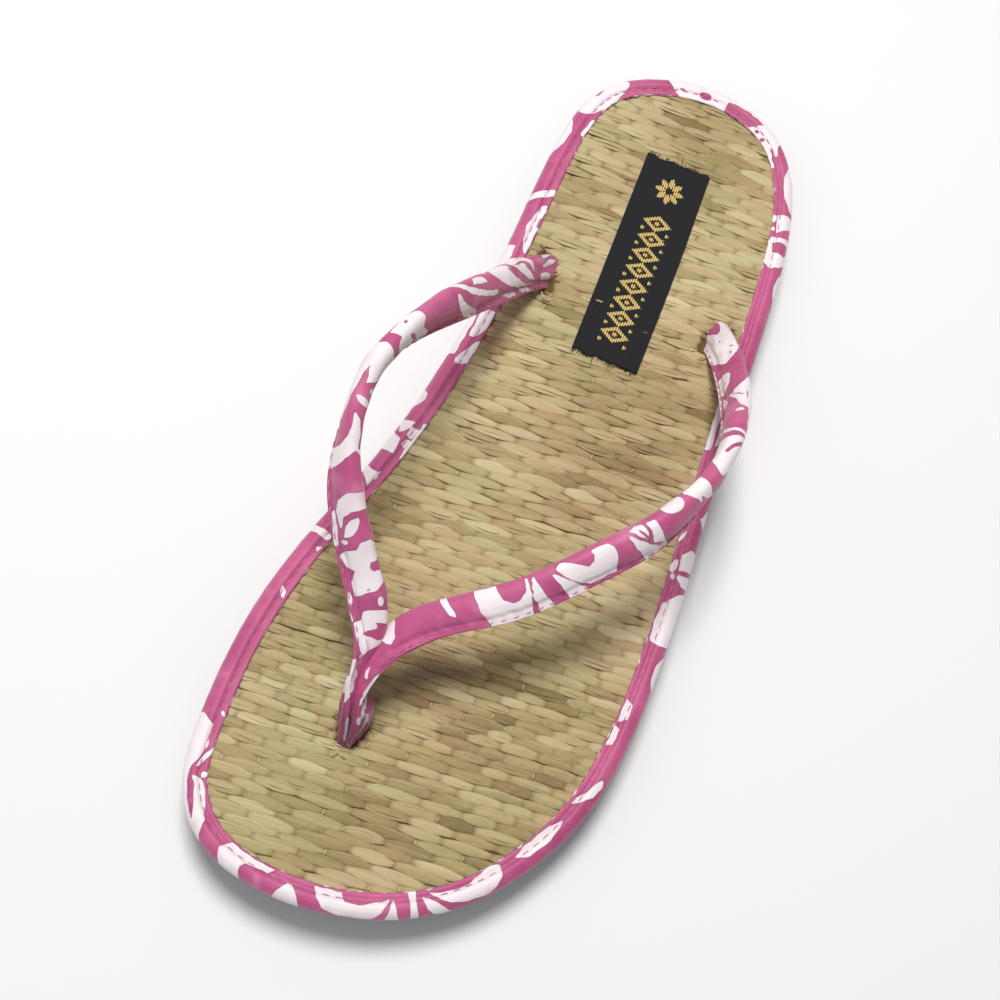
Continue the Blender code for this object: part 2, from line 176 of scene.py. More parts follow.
# Its ornament, along the label from its middle: the chain's first lozenge, their distance and
# the rosette's middle and reach.
CHAIN_START, CHAIN_STEP, CHAIN_COUNT = -11.6, 4.9, 8
# Half length and half width of a lozenge and of its hollow, and how far out the beads lie.
LOZENGE, LOZENGE_HOLLOW, BEADS_OUT = (2.3, 3.9), (1.3, 2.3), 3.4
ROSETTE_AT, ROSETTE_REACH, ROSETTE_EYE, ROSETTE_PETALS = -21.8, 4.0, 0.9, 8

# ---------------------------------------------------------------- the printed flowers
# Each row of a print: paint, shape, then the shape's points or sizes. s runs along the
# strip and t across it, in millimetres. Later rows lie over earlier ones.
WHITE, PINK = 1.0, -1.0

BINDING_PRINT = (
    (WHITE, "patch", ((-6, -2), (11, -2), (14, 2), (16, 5), (17, 12), (-6, 12))),
    (PINK, "oval", (4.8, 2.7, 3.8, 2.4, 10)),
    (PINK, "oval", (12, 3.0, 1.8, 0.5, 20)),
    (WHITE, "oval", (23.5, 0.2, 7, 1.0, 0)),
    (WHITE, "oval", (37.3, 5.3, 18.4, 8.8, 0)),
    (PINK, "oval", (37.8, 5.7, 3.0, 0.9, 4)),
    (WHITE, "patch", ((33, -1), (43, -1), (42, 1.1), (34, 0.9))),
    (WHITE, "band", ((46.9, 0.9), (52.3, 1.5)), 1.1),
    (WHITE, "oval", (54.9, 9.2, 13.6, 9, 0)),
    (WHITE, "band", ((72.5, 1.3), (73.6, 3), (75.2, 5.5), (76.2, 8.5)), 1.9),
    (WHITE, "oval", (72.7, 1.8, 1.6, 1.4, 0)),
    (WHITE, "patch", ((76.5, 1.1), (92, 1.1), (91.6, 1.9), (88.4, 3.5), (85.1, 4.2), (80.7, 3.6),
        (77.3, 2.7))),
    (PINK, "oval", (82.3, 1.3, 3, 0.8, 0)),
    (WHITE, "leaf", ((92.6, 0.3), (96.4, 5.4)), 1.5),
    (WHITE, "leaf", ((95, 0.2), (97.4, 5.6)), 1.5),
    (WHITE, "patch", ((91, 4.7), (94, 4.4), (96, 5.2), (97.3, 4.8), (98.5, 2.7), (99, -1),
        (101.8, -1), (101.8, 2.7), (101, 5.5), (99.5, 8.3), (98.5, 13), (89, 13), (90.7, 8.3))),
    (WHITE, "patch", ((104.6, 3.1), (106.2, 3.6), (107.6, 5), (107.8, 7.3), (106.5, 10),
        (104.8, 13), (102.9, 13), (105, 8.5), (105.3, 6), (104.7, 4.2))),
    (WHITE, "patch", ((103, 0.6), (105.2, 0.6), (105.6, 2), (104.6, 2.2), (103.6, 1.6))),
    (WHITE, "patch", ((109.8, 1.1), (115.4, 1), (118.7, 3), (119, 4.5), (112, 4.8), (110, 3.4))),
    (WHITE, "patch", ((112, 5.3), (125, 5.3), (126, 12), (110, 12))),
    (WHITE, "patch", ((118.7, 0.6), (125.7, 0.8), (127.3, 3.9), (126.2, 4.5), (122.3, 3.2),
        (119.6, 1.9))),
    (WHITE, "oval", (139.5, 8.6, 5.5, 7, 0)),
    (WHITE, "patch", ((145.8, 3.6), (148, 4), (150, 5.2), (150.2, 6), (148.4, 7.3), (147.2, 9),
        (146.3, 11.5), (145, 13), (146.2, 9), (146.6, 6))),
    (WHITE, "patch", ((151.6, 4.4), (153.5, 3.8), (156, 3.4), (156, 6), (155.6, 9), (154.7, 13),
        (150.2, 13), (149.6, 9.8), (150.4, 7.6))),
    (WHITE, "band", ((145, 1.1), (155.5, 1.1)), 0.8),
    (WHITE, "patch", ((147, 1.6), (150.2, 1.8), (149.8, 3.6), (147.3, 3.8))),
    (WHITE, "patch", ((150.5, 1.6), (153, 1.7), (152.6, 3.2), (150.8, 3.1))),
    (WHITE, "patch", ((161.6, 3.2), (166.3, 3.2), (164.4, 5.4), (163.3, 7.7), (163.5, 10.5),
        (164.7, 13), (160.5, 13), (161.4, 8), (162, 5.4))),
    (WHITE, "oval", (162.4, 2.8, 2.8, 0.6, 0)),
    (WHITE, "band", ((181.9, 2), (182.4, 10)), 1.8),
    (WHITE, "patch", ((184.7, 1.3), (186.7, 1.6), (185.6, 2.7))),
    (WHITE, "leaf", ((198.1, 3.7), (200.9, 1.1)), 1.3),
    (WHITE, "leaf", ((231.1, 2.4), (232.9, 0.8)), 0.9),
    (WHITE, "patch", ((232.7, 12), (233.2, 6), (235, 3), (240, 2.1), (244, 3.6), (246.5, 5.3),
        (250, 5.6), (258, 6.4), (262, 7), (264, 12))),
    (WHITE, "leaf", ((239.3, -0.3), (246.3, 3.8)), 1.2),
    (WHITE, "patch", ((247.9, 4.5), (248.6, 3), (250, 1.8), (252, 1.3), (256, 1.8), (260, 3.3),
        (262, 5.5), (263.7, 8), (264, 11), (259, 9), (258.5, 6.3), (257, 5.3), (254, 4.2),
        (250, 4))),
    (WHITE, "oval", (248, 1.5, 1.6, 1.6, 40)),
    (WHITE, "oval", (249.8, 0.4, 2.5, 0.8, 0)),
    (WHITE, "patch", ((270.8, 12), (270.3, 8), (267.8, 4), (269.5, 1.3), (275.5, 3.2),
        (274.6, 4.5), (276, 8), (277, 12))),
    (WHITE, "patch", ((269.5, 1.2), (282.7, 1.2), (281, 2.6), (275.5, 3.2), (269.7, 3))),
    (WHITE, "leaf", ((287, 2.4), (287.8, 14)), 6.4),
    (WHITE, "patch", ((292.7, 1.3), (294, 4), (296, 6), (298, 7.2), (303, 7.8), (307, 7.6),
        (309, 5.8), (311.3, 2.3), (310.5, 1.2), (299.8, 1.3))),
    (PINK, "patch", ((299.8, 0), (299.8, 2), (300.5, 3.4), (304, 4), (307, 3.2), (311, 2.2),
        (311.5, 0))),
    (WHITE, "patch", ((309.4, 11), (314, 11), (312.5, 2.5), (311.9, 2.5))),
    (WHITE, "band", ((316.8, -1), (317.2, 11)), 1.8),
    (WHITE, "leaf", ((319.2, 2.2), (326.5, 11)), 3.0),
    (WHITE, "patch", ((321, 1.5), (324, 4), (328, 5.9), (333, 6.7), (337, 6.2), (339.5, 4),
        (340.5, 1.5), (337, 0.6), (334, 1.6))),
    (PINK, "patch", ((320, -1), (321.8, 1.7), (326, 2.4), (331, 2.5), (334, 1.3), (334, -1))),
    (WHITE, "patch", ((344.3, 2), (349, 1.1), (356, 1.4), (359.7, 3), (354, 4.3), (347, 4))),
    (WHITE, "patch", ((363.7, 1.4), (366, 1.6), (368, 2.9), (371.5, 3.9), (373.4, 4.7), (371.8, 6),
        (368.4, 5), (365.6, 3.2))),
    (WHITE, "patch", ((381.2, 1.2), (386.8, 1), (386, 2.8), (382, 2.6))),
    (WHITE, "patch", ((387.8, 1.3), (394, 1.1), (393, 3.4), (389, 3.6))),
    (WHITE, "oval", (402.5, 8.6, 9.8, 6.8, 0)),
    (WHITE, "patch", ((410, 11), (409.7, 8), (409, 4), (409.6, 1.5), (414, 0.9), (419.7, 1.5),
        (421, 3), (423, 5), (424.3, 8), (424.5, 11))),
    (WHITE, "patch", ((425, 11), (425.2, 5), (427, 3.2), (433, 2.9), (435, 5), (434.6, 11))),
    (PINK, "band", ((428.3, 3), (429.2, 9)), 1.1),
    (WHITE, "oval", (427.1, 1.9, 1.4, 1.3, 0)),
    (WHITE, "oval", (429.9, 1.7, 3.9, 1.6, 8)),
    (WHITE, "patch", ((441.3, 11), (441.6, 7), (443.3, 4.9), (446.5, 7), (447.3, 11))),
    (WHITE, "leaf", ((436, 0.6), (439.6, 2.6)), 0.9),
    (WHITE, "patch", ((461.5, 0.2), (478, 0.2), (478, 2.3), (462, 2.3))),
    (WHITE, "patch", ((463, 3.1), (478, 3.1), (478, 6), (466, 6))),
    (WHITE, "patch", ((456.8, 9), (457.7, 5.4), (460, 3.8), (464.4, 4.2), (468, 7.5), (468.6, 13),
        (460, 13))),
    (WHITE, "oval", (490.9, 0.7, 3.2, 1.5, 0)),
    (WHITE, "patch", ((506, 11), (506.8, 7.6), (509.5, 5.8), (512, 5.3), (515.5, 6.6), (518, 11))),
    (WHITE, "patch", ((519.6, 11), (519.5, 8), (517.5, 5.5), (516.3, 3), (518, 0.2), (524.5, 0),
        (525, 1.7), (521.4, 2.2), (521, 6), (522.5, 8), (522.7, 11))),
    (WHITE, "band", ((525.2, 1.6), (525.8, 10)), 1.6),
    (WHITE, "patch", ((530.4, 11), (530.2, 8), (527.5, 2.2), (533.2, 2), (533, 8), (533, 11))),
    (WHITE, "oval", (528.5, 1.1, 1.2, 1.2, 0)),
    (WHITE, "oval", (531.7, 1.1, 2.4, 1.4, 0)),
    (WHITE, "oval", (541.5, 8.2, 15.5, 9.6, 0)),
    (WHITE, "patch", ((556.5, 11), (556.8, 7.5), (555.3, 4.6), (552.2, 3.4), (552.4, 2.6),
        (555.4, 3), (555.8, 2.2), (552.5, 1.9), (552.7, 1.3), (556.6, 1.5), (557, 0), (566, 0),
        (568, 5), (576, 4), (590, 4), (590, 12))),
    (WHITE, "band", ((549.4, 0.8), (556.6, 0.9)), 1.2),
    (PINK, "oval", (559.7, 1.5, 1.5, 2, 0)),
    (PINK, "oval", (563.2, 1.8, 1.5, 1.7, 0)),
    (PINK, "patch", ((563.3, 4.9), (572.5, 4.3), (575.5, 1.3), (576, 0.3), (566.5, 0.3),
        (565, 2.5))),
)

MEDIAL_PRINT = (
    (WHITE, "patch", ((19.2, -0.4), (20.2, 0.6), (21.6, 2.4), (22.6, 2.7), (23.8, 3.4),
        (24.8, 3.5), (26.6, 2.1), (28.7, 1), (28.4, -0.4))),
    (WHITE, "patch", ((18.8, 23), (18.7, 20.6), (19, 19), (19.8, 17.2), (22.5, 17.2), (23.6, 18.6),
        (24.6, 20.4), (26.8, 21.4), (28.3, 22.2), (28.6, 23))),
    (PINK, "oval", (25.2, 21.9, 0.9, 0.5, 0)),
    (WHITE, "band", ((6.6, 0.6), (11, 0.6), (14.4, 0.5)), 0.75),
    (WHITE, "oval", (14.6, 21, 1.9, 1, 0)),
    (WHITE, "oval", (29.2, 2.5, 0.8, 0.5, 0)),
    (WHITE, "patch", ((40, 3.8), (40.1, 5.2), (39.9, 6.6), (39.6, 8.3), (39.2, 9.8), (37.3, 10.4),
        (35.4, 9.4), (33.3, 8.9), (32, 7.1), (31.2, 5), (30.5, 4.2), (29.5, 3.2), (30.4, 2.2),
        (32.2, 1.2), (34.6, 0.8), (37.2, 0.8), (37.4, 2), (37.9, 3), (39.1, 3.4))),
    (PINK, "patch", ((37.4, 6.1), (37.1, 7.3), (36.4, 9.6), (34.9, 9.6), (33.3, 8.4), (33.4, 6.7),
        (34, 5.1), (34.1, 3.7), (34.3, 2.4), (35.3, 3.9), (35.5, 5.8), (35.8, 6.7), (36.6, 6.6))),
    (PINK, "band", ((37.4, 3), (36.3, 3), (35.2, 3.3)), 0.25),
    (PINK, "band", ((33.2, 3.6), (32.1, 4), (31.3, 4.8)), 0.3),
    (WHITE, "oval", (41.6, 8.4, 2.2, 1.4, 0)),
    (WHITE, "band", ((40.2, 0.2), (39, 0.4), (37.8, 0.6)), 0.7),
    (WHITE, "oval", (43.2, 1.4, 3.1, 1, 0)),
    (WHITE, "patch", ((43.4, 2.6), (47, 2.4), (49.4, 4.4), (50.5, 2.2), (53.2, 1.2), (54, 3),
        (54.3, 6.5), (55.8, 8), (56, 10), (54.5, 11.6), (51.5, 11.8), (50.8, 10.6), (50.7, 8.6),
        (49.6, 8), (48.6, 8.6), (48.4, 10.6), (46, 11), (44.9, 9.4), (44.2, 7.6), (44, 5))),
    (PINK, "oval", (45, 6.2, 0.6, 1.2, 0)),
    (WHITE, "oval", (56.3, 3.7, 1, 2.3, 0)),
    (WHITE, "leaf", ((57.2, 4.4), (61.5, 9)), 2.5),
    (WHITE, "band", ((56, 1.2), (59, 1.7), (62.5, 2.3)), 1.2),
    (WHITE, "patch", ((59.3, 3.8), (63.3, 3.7), (65.6, 5), (67.2, 7.9), (67.4, 9.3), (67, 12.6),
        (62.8, 12.6), (63.3, 10.1), (63, 7.9), (62, 5.7), (60, 4.6))),
    (WHITE, "patch", ((71.4, 0.2), (76, 0.4), (76.2, 3.4), (76.7, 5.7), (77.8, 7.6), (79.4, 9.3),
        (81.1, 10.1), (84.8, 10.6), (83.3, 12.1), (80, 12.6), (77.2, 11.8), (76.1, 10.4),
        (74.7, 8.4), (73, 6.2), (72, 3.4))),
    (WHITE, "leaf", ((76.9, 10.8), (75.4, 15.7)), 1.4),
    (WHITE, "leaf", ((87.8, 10.1), (86.1, 14.8)), 1.5),
    (WHITE, "oval", (89.7, 14.2, 1.2, 2.2, 0)),
    (WHITE, "patch", ((82.3, 4.2), (90, 3.8), (97, 4.2), (98.4, 7), (99.2, 10), (93.9, 10.5),
        (91.9, 10.2), (88.9, 9.6), (85, 7.9), (82.3, 5.9))),
    (WHITE, "patch", ((90.5, 11.5), (91.7, 13.4), (92.8, 15.7), (93, 17.5), (99.4, 17), (99.2, 15),
        (99.4, 12.9), (99.6, 10.8), (98, 9), (94, 9.6))),
    (PINK, "leaf", ((88.4, 10.9), (94.2, 10.9)), 0.9),
    (WHITE, "patch", ((101.8, 9.8), (107, 8.8), (110.7, 10.9), (110.7, 13.4), (110, 15.1),
        (111.1, 16.8), (112.8, 18.7), (114.4, 20.7), (112, 22.8), (105, 22.8), (104.4, 22),
        (102.6, 18.3), (101.5, 16.9), (101, 15.1), (101.6, 13.4), (102.8, 12.9))),
    (PINK, "band", ((105.8, 14.8), (108.3, 19), (109.4, 20.9)), 1.1),
    (PINK, "oval", (106, 10.8, 1, 0.8, 0)),
    (WHITE, "patch", ((123.7, 13.8), (124.4, 13.7), (126.2, 16.2), (129.2, 18.4), (132.6, 19.9),
        (133.8, 21), (132.5, 22), (128.5, 21.3), (124.8, 17.9), (123.5, 15.4))),
    (WHITE, "patch", ((124.2, 10), (126.2, 10), (127, 11.5), (129.2, 13.4), (133.1, 15.1),
        (138.7, 16.7), (143.4, 17.4), (144.1, 18.2), (143.4, 18.6), (140.3, 18.3), (135.3, 17.3),
        (130.3, 15.7), (126.4, 13.2), (124.5, 11.2))),
    (WHITE, "patch", ((131.3, 13.8), (133.1, 12.1), (135.3, 11.9), (137.2, 13), (138.7, 14.6),
        (135.9, 14.3))),
    (WHITE, "patch", ((143.4, 11.3), (149, 11), (152, 12.6), (154.2, 13.9), (157, 15.1),
        (159.8, 16.8), (162.6, 18.2), (166.4, 19.3), (165, 20), (162, 19.7), (157.6, 19.3),
        (153.1, 18.4), (149.8, 17.6), (146.4, 15.9), (143.9, 14.3), (142.8, 12.9))),
    (PINK, "patch", ((151.4, 13.2), (154.2, 13.9), (157, 15.1), (159.8, 16.8), (162.6, 18.2),
        (166.4, 19.3), (162, 19.3), (158.7, 18.2), (155.3, 16.5), (152.3, 14.3))),
    (WHITE, "patch", ((155.3, 13.6), (161.4, 13.6), (162, 14.8), (164.2, 16.8), (166.4, 18.7),
        (163, 18), (160, 16.5), (157.4, 14.9))),
    (WHITE, "patch", ((153, 11.3), (165.8, 11.3), (166.2, 14), (166.7, 16.8), (165, 15.2),
        (163.1, 13.6), (160.9, 12.9), (155, 13.2))),
    (PINK, "band", ((160.9, 13.3), (163.1, 15.1), (165.9, 17.9)), 0.7),
    (WHITE, "leaf", ((147.3, 19.7), (157.6, 21.3)), 1.3),
    (WHITE, "leaf", ((157.6, 20.2), (166.4, 21.6)), 1.2),
    (WHITE, "leaf", ((171.7, 13.6), (177.6, 11.8)), 1.3),
    (WHITE, "leaf", ((170.4, 16.1), (178.1, 14)), 1.4),
    (WHITE, "patch", ((169.8, 17.5), (175, 17.7), (174.8, 19.5), (170, 19.4))),
)

LATERAL_PRINT = (
    (WHITE, "band", ((15, 0.3), (16.2, 1.6), (17.2, 3.2), (17.7, 5.2), (17.6, 7.6)), 1.7),
    (WHITE, "band", ((20.4, 0.3), (23, 0.4), (25.4, 0.3), (27.2, -0.2)), 1.6),
    (WHITE, "band", ((22.6, 22.5), (25, 22.4), (27.2, 22.5)), 1),
    (WHITE, "band", ((10.2, 0.9), (11.4, 1.9), (12.8, 2.7), (14.5, 3.4)), 1.1),
    (WHITE, "oval", (5.2, 0.2, 0.9, 0.5, 0)),
    (WHITE, "oval", (5.8, 22.4, 0.8, 0.5, 0)),
    (WHITE, "patch", ((26.9, 17.8), (27.8, 18), (27, 19.1), (25.4, 20.1), (25, 19.4),
        (25.2, 18.8))),
    (WHITE, "patch", ((35.1, 12.4), (36.4, 10.6), (37.8, 12.2), (37.9, 14.3), (36.4, 17.4),
        (34.6, 18.4), (33.8, 17), (33.7, 14.8))),
    (WHITE, "patch", ((48, 11), (49.4, 11), (49.7, 13.2), (50.4, 15.6), (51.1, 17.9), (49.6, 17.2),
        (48.7, 15), (48.1, 13))),
    (WHITE, "patch", ((55.8, 12), (59.8, 12.4), (68.4, 12.8), (69.4, 14), (68.8, 18), (67.8, 23.2),
        (58, 23.2), (57.4, 20.6), (56.4, 18), (55.8, 15))),
    (PINK, "patch", ((61, 11.5), (61.1, 14.2), (62, 16.4), (63.6, 17.5), (65.4, 17.3), (67, 16),
        (67.8, 14), (68, 11.5))),
    (PINK, "band", ((69, 12.2), (68.6, 14.6), (68, 18), (67.3, 23)), 0.6),
    (PINK, "leaf", ((68.3, 18.6), (67.3, 24)), 1.7),
    (WHITE, "patch", ((69.8, 13), (70.2, 14.7), (70.7, 17.4), (71.4, 20.6), (72, 24), (68.5, 24),
        (68.4, 20), (68.8, 16.2), (69.3, 13.6))),
    (WHITE, "patch", ((73.7, 14.3), (74.4, 14.5), (76, 16.3), (77.4, 18), (78.6, 19.9),
        (79.8, 21.4), (79.4, 24), (75.5, 24), (75.2, 20.8), (74.6, 17.4))),
    (WHITE, "patch", ((74.9, 13.6), (76.4, 12.4), (78, 13), (87.5, 12.6), (88.4, 14), (88.5, 16),
        (88, 18.5), (87.4, 20.8), (80.9, 20.9), (79.2, 19.6), (77.6, 17.8), (75.8, 15.4))),
    (PINK, "patch", ((77, 11.4), (77.6, 13), (79.2, 14.1), (80.6, 15.2), (82, 15.9), (83.2, 15.2),
        (83.7, 14.1), (83.5, 12.6), (83, 11.4))),
    (WHITE, "patch", ((92.3, 13.6), (92.8, 12.2), (94.4, 11.6), (99.2, 12.2), (99.5, 14),
        (99.6, 16.3), (99.9, 18.3), (100.6, 20.2), (100.7, 21.4), (94.4, 21.9), (94, 19.7),
        (93.5, 18), (92.8, 16))),
    (PINK, "band", ((92.4, 12.2), (93.9, 14.1), (95.4, 15.5), (96.5, 17.2)), 0.75),
    (PINK, "band", ((95, 12.9), (95.9, 14.7), (96.8, 17)), 0.6),
    (PINK, "band", ((96.7, 12), (97.1, 14.1), (96.7, 16.6), (96.6, 17.4)), 0.75),
    (PINK, "patch", ((96.2, 17), (98.4, 18), (100.1, 19.4), (100.5, 20.2), (98.4, 20.4),
        (97.9, 19))),
    (WHITE, "oval", (104.8, 11.2, 5.5, 4.6, 0)),
    (WHITE, "patch", ((108.7, 11), (109.4, 9.4), (115.3, 9.4), (115, 13), (115.1, 15.8),
        (115.6, 17.5), (116.7, 19.6), (115, 18.2), (113, 16), (111.6, 13.9), (111.3, 15.8),
        (110.6, 14.4), (109.4, 12.4))),
    (WHITE, "band", ((115, 17.4), (116.3, 19.4), (117.3, 20.4)), 0.6),
    (WHITE, "patch", ((115.9, 20.6), (119.9, 20.2), (119.4, 22.6), (116.4, 22.6))),
    (WHITE, "patch", ((118.6, 13), (119, 11.9), (120.3, 9.9), (122.3, 7.6), (125, 5.6),
        (128.4, 4.8), (131.5, 5.2), (130.5, 6.8), (130.1, 8.1), (130.2, 9.6), (131.3, 11.4),
        (132.3, 13.9), (130.4, 16.2), (123.4, 16.6), (121.9, 15.2), (120.6, 14.8), (119, 14.1))),
    (PINK, "band", ((125.1, 10.8), (127, 11.2), (129, 12.4), (131.2, 14.6)), 1),
    (WHITE, "patch", ((126.2, 0.8), (135.4, 0.7), (134.6, 2.4), (132, 3.6), (126.8, 3.4))),
    (WHITE, "band", ((136.6, 4), (135.3, 5.3), (134.2, 6.8), (133.3, 8.4), (133.1, 10),
        (133.3, 12), (133.7, 14)), 1.2),
    (WHITE, "oval", (140.6, 9.4, 1, 2, -15)),
    (WHITE, "patch", ((134.6, 14.6), (134.8, 13.1), (136.6, 12.5), (139.4, 11.9), (142.1, 11.4),
        (142.3, 10.1), (143.1, 9.2), (144.6, 8.5), (145.9, 8), (147.7, 6.8), (149.2, 5.7),
        (150, 5.6), (150, 6.7), (150.8, 7), (152, 8.6), (153.5, 9.8), (155.9, 10.9), (159, 12.3),
        (159.4, 14.6))),
    (PINK, "band", ((149.6, 6.6), (148.6, 7.8), (147.3, 9.9)), 0.6),
    (PINK, "band", ((145.8, 10.8), (149.2, 10.7)), 0.45),
    (WHITE, "band", ((138, 1.2), (141.2, 1.4), (143.8, 1)), 1.3),
    (WHITE, "band", ((146.8, 0.7), (152.4, 0.9), (160.4, 0.7), (165.9, 0.6)), 0.9),
    (WHITE, "patch", ((145.7, 4.4), (146.3, 2.4), (149.4, 2), (152.9, 1.9), (151.4, 3.2),
        (149.6, 4.2), (147.8, 5))),
    (WHITE, "patch", ((154.5, 1.8), (156.1, 1.5), (162.1, 1.4), (161.6, 2.8), (161.1, 4.3),
        (160.3, 5.8), (159.1, 6.3), (156.6, 6.1), (154.5, 5.3), (153.5, 4), (154, 2.8))),
    (PINK, "oval", (156.5, 4.4, 1, 0.5, 0)),
    (WHITE, "patch", ((170.9, 0.3), (169.2, 1.5), (167.7, 2.8), (166.1, 4), (165.1, 5.3),
        (165.6, 6.8), (166.6, 8.3), (168.2, 9.6), (169.7, 10.5), (174.4, 10.9), (180.4, 11.4),
        (192.4, 12), (192.4, 0.2), (177.4, -0.4))),
    (PINK, "oval", (168.2, 7.7, 1.5, 0.5, 10)),
    (PINK, "oval", (170.8, 8.4, 0.6, 1.5, 15)),
    (PINK, "oval", (169, 6.3, 1, 0.35, -30)),
    (PINK, "oval", (174.5, 6.1, 1.3, 0.4, 10)),
    (PINK, "patch", ((177.4, 6.6), (178.3, 5.6), (179.8, 4.9), (181.6, 4.4), (182.8, 6.1),
        (185.1, 8.3), (186.6, 9.1), (185.3, 9.6), (183.1, 9.4), (180.5, 8.5), (178.3, 7.7))),
)

# ---------------------------------------------------------------- shape helpers


def smoothstep(value):
    """Ease a 0..1 ramp at both ends."""
    t = np.clip(value, 0.0, 1.0)
    return t * t * (3.0 - 2.0 * t)


def bell(off, width):
    """A bell curve: 1 in its middle, down to about a third at this width."""
    return np.exp(-(off / width) ** 2)


def toe_spring(x):
    """How far the toe end is lifted off the floor at the length x."""
    share = (x - TOE_SPRING_START) / (HALF_LENGTH - TOE_SPRING_START)
    return TOE_SPRING * np.clip(share, 0.0, 2.0) ** 2


def mat_top(x):
    """Height of the mat's surface at the length x."""
    heel = smoothstep((HEEL_LIFT_START - x) / (HEEL_LIFT_START - HEEL_LIFT_END))
    return MAT_TOP + HEEL_LIFT * heel + toe_spring(x)


def sole_bottom(x):
    """Height of the sole's underside: flat heel and ball, hollow arch, sprung toe."""
    arch = np.sin(math.pi * np.clip((x - ARCH_FROM) / (ARCH_TO - ARCH_FROM), 0.0, 1.0)) ** 2
    roll = np.clip((HEEL_ROLL_START - x) / (HALF_LENGTH + HEEL_ROLL_START), 0.0, 2.0) ** 2
    return ARCH_HOLLOW * arch + HEEL_ROLL * roll + toe_spring(x)


def cubic(knots, values, at, closed=False):
    """Cubic spline through rows of values: natural ends, or a closed loop."""
    count = len(knots)
    step = np.diff(knots)
    system = np.zeros((count, count))
    right = np.zeros((count, values.shape[1]))
    slope = np.diff(values, axis=0) / step[:, None]
    for i in range(1, count - 1):
        system[i, i - 1:i + 2] = (step[i - 1], 2.0 * (step[i - 1] + step[i]), step[i])
        right[i] = 6.0 * (slope[i] - slope[i - 1])
    if closed:
        system[0, :2] = (2.0 * (step[-1] + step[0]), step[0])
        system[0, -2] = step[-1]
        right[0] = 6.0 * (slope[0] - slope[-1])
        system[-1, 0] = 1.0
        system[-1, -1] = -1.0
    else:
        system[0, 0] = 1.0
        system[-1, -1] = 1.0
    bend = np.linalg.solve(system, right)
    k = np.clip(np.searchsorted(knots, at, side="right") - 1, 0, count - 2)
    h = step[k][:, None]
    a = (knots[k + 1] - at)[:, None] / h
    b = 1.0 - a
    line = a * values[k] + b * values[k + 1]
    return line + ((a ** 3 - a) * bend[k] + (b ** 3 - b) * bend[k + 1]) * h ** 2 / 6.0


def walked(points):
    """Distance walked along a row of points."""
    lengths = np.linalg.norm(np.diff(points, axis=0), axis=1)
    return np.concatenate(([0.0], np.cumsum(lengths)))


def unit(vectors):
    """Rows of vectors brought to length 1."""
    return vectors / np.maximum(np.linalg.norm(vectors, axis=1), 1e-9)[:, None]


def columns_at(at, knots, values):
    """Rows of values between knots, column by column."""
    return np.column_stack([np.interp(at, knots, column) for column in values.T])


def edge_table():
    """The footbed's edge by the length s walked round it from the heel, with its outward side."""
    rows = np.concatenate((
        [HEEL_TIP], OUTLINE[:, (0, 1)], [TOE_TIP], OUTLINE[::-1][:, (0, 2)], [HEEL_TIP],
    ))
    knots = walked(rows)
    points = cubic(knots, rows, np.linspace(0.0, knots[-1], EDGE_STATIONS), True)
    length = walked(points)
    length *= BINDING_ROUND / length[-1]
    run = unit(np.roll(points[:-1], -1, axis=0) - np.roll(points[:-1], 1, axis=0))
    run = np.concatenate((run, run[:1]))
    return length, np.column_stack((points, run[:, 1], -run[:, 0]))


EDGE_LENGTH, EDGE_ROWS = edge_table()


def edge_at(s):
    """Points and outward directions of the footbed's edge at the lengths s."""
    rows = columns_at(np.mod(s, BINDING_ROUND), EDGE_LENGTH, EDGE_ROWS)
    return rows[:, :2], unit(rows[:, 2:])


def side_limits(inset):
    """The inset footbed's big-toe side and little-toe side as functions of the length x."""
    loop = EDGE_ROWS[:, :2] - inset * EDGE_ROWS[:, 2:]
    toe = int(np.argmax(loop[:, 0]))
    heel = int(np.argmin(loop[:, 0]))
    medial = loop[heel:toe + 1] if heel < toe else np.concatenate((loop[heel:-1], loop[:toe + 1]))
    lateral = loop[toe:][::-1] if heel < toe else loop[toe:heel + 1][::-1]
    medial = medial[np.argsort(medial[:, 0])]
    lateral = lateral[np.argsort(lateral[:, 0])]
    ends = (loop[heel, 0], loop[toe, 0])

    def limits(x):
        low = np.interp(x, medial[:, 0], medial[:, 1])
        high = np.interp(x, lateral[:, 0], lateral[:, 1])
        return low, high

    return limits, ends


def rounded(outline, step=0.2, ease=2):
    """A closed outline resampled evenly with its corners eased.

    Returns the length walked to each row, and rows of a point and its outward side.
    """
    loop = np.concatenate((outline, outline[:1]))
    length = walked(loop)
    count = int(length[-1] / step)
    at = np.linspace(0.0, length[-1], count + 1)[:-1]
    points = columns_at(at, length, loop)
    for _ in range(ease):
        points = (0.25 * np.roll(points, 1, axis=0) + 0.5 * points
                  + 0.25 * np.roll(points, -1, axis=0))
    run = unit(np.roll(points, -1, axis=0) - np.roll(points, 1, axis=0))
    turns_left = np.sum(points[:, 0] * run[:, 1] - points[:, 1] * run[:, 0]) > 0.0
    side = np.column_stack((run[:, 1], -run[:, 0])) * (1.0 if turns_left else -1.0)
    rows = np.column_stack((points, side))
    rows = np.concatenate((rows, rows[:1]))
    return np.append(at, length[-1]), rows


def strap_section():
    """The strap's section from the seam's edge over its face to the far edge and back under."""
    over = SECTION_HALF[::-1]
    return np.concatenate((over, SECTION_HALF[1:-1] * (1.0, -1.0)))


SECTION_LENGTH, SECTION_ROWS = rounded(strap_section())
PROFILE_LENGTH, PROFILE_ROWS = rounded(BINDING_PROFILE)
STRAP_GIRTH = SECTION_LENGTH[-1]
BINDING_GIRTH = PROFILE_LENGTH[-1]


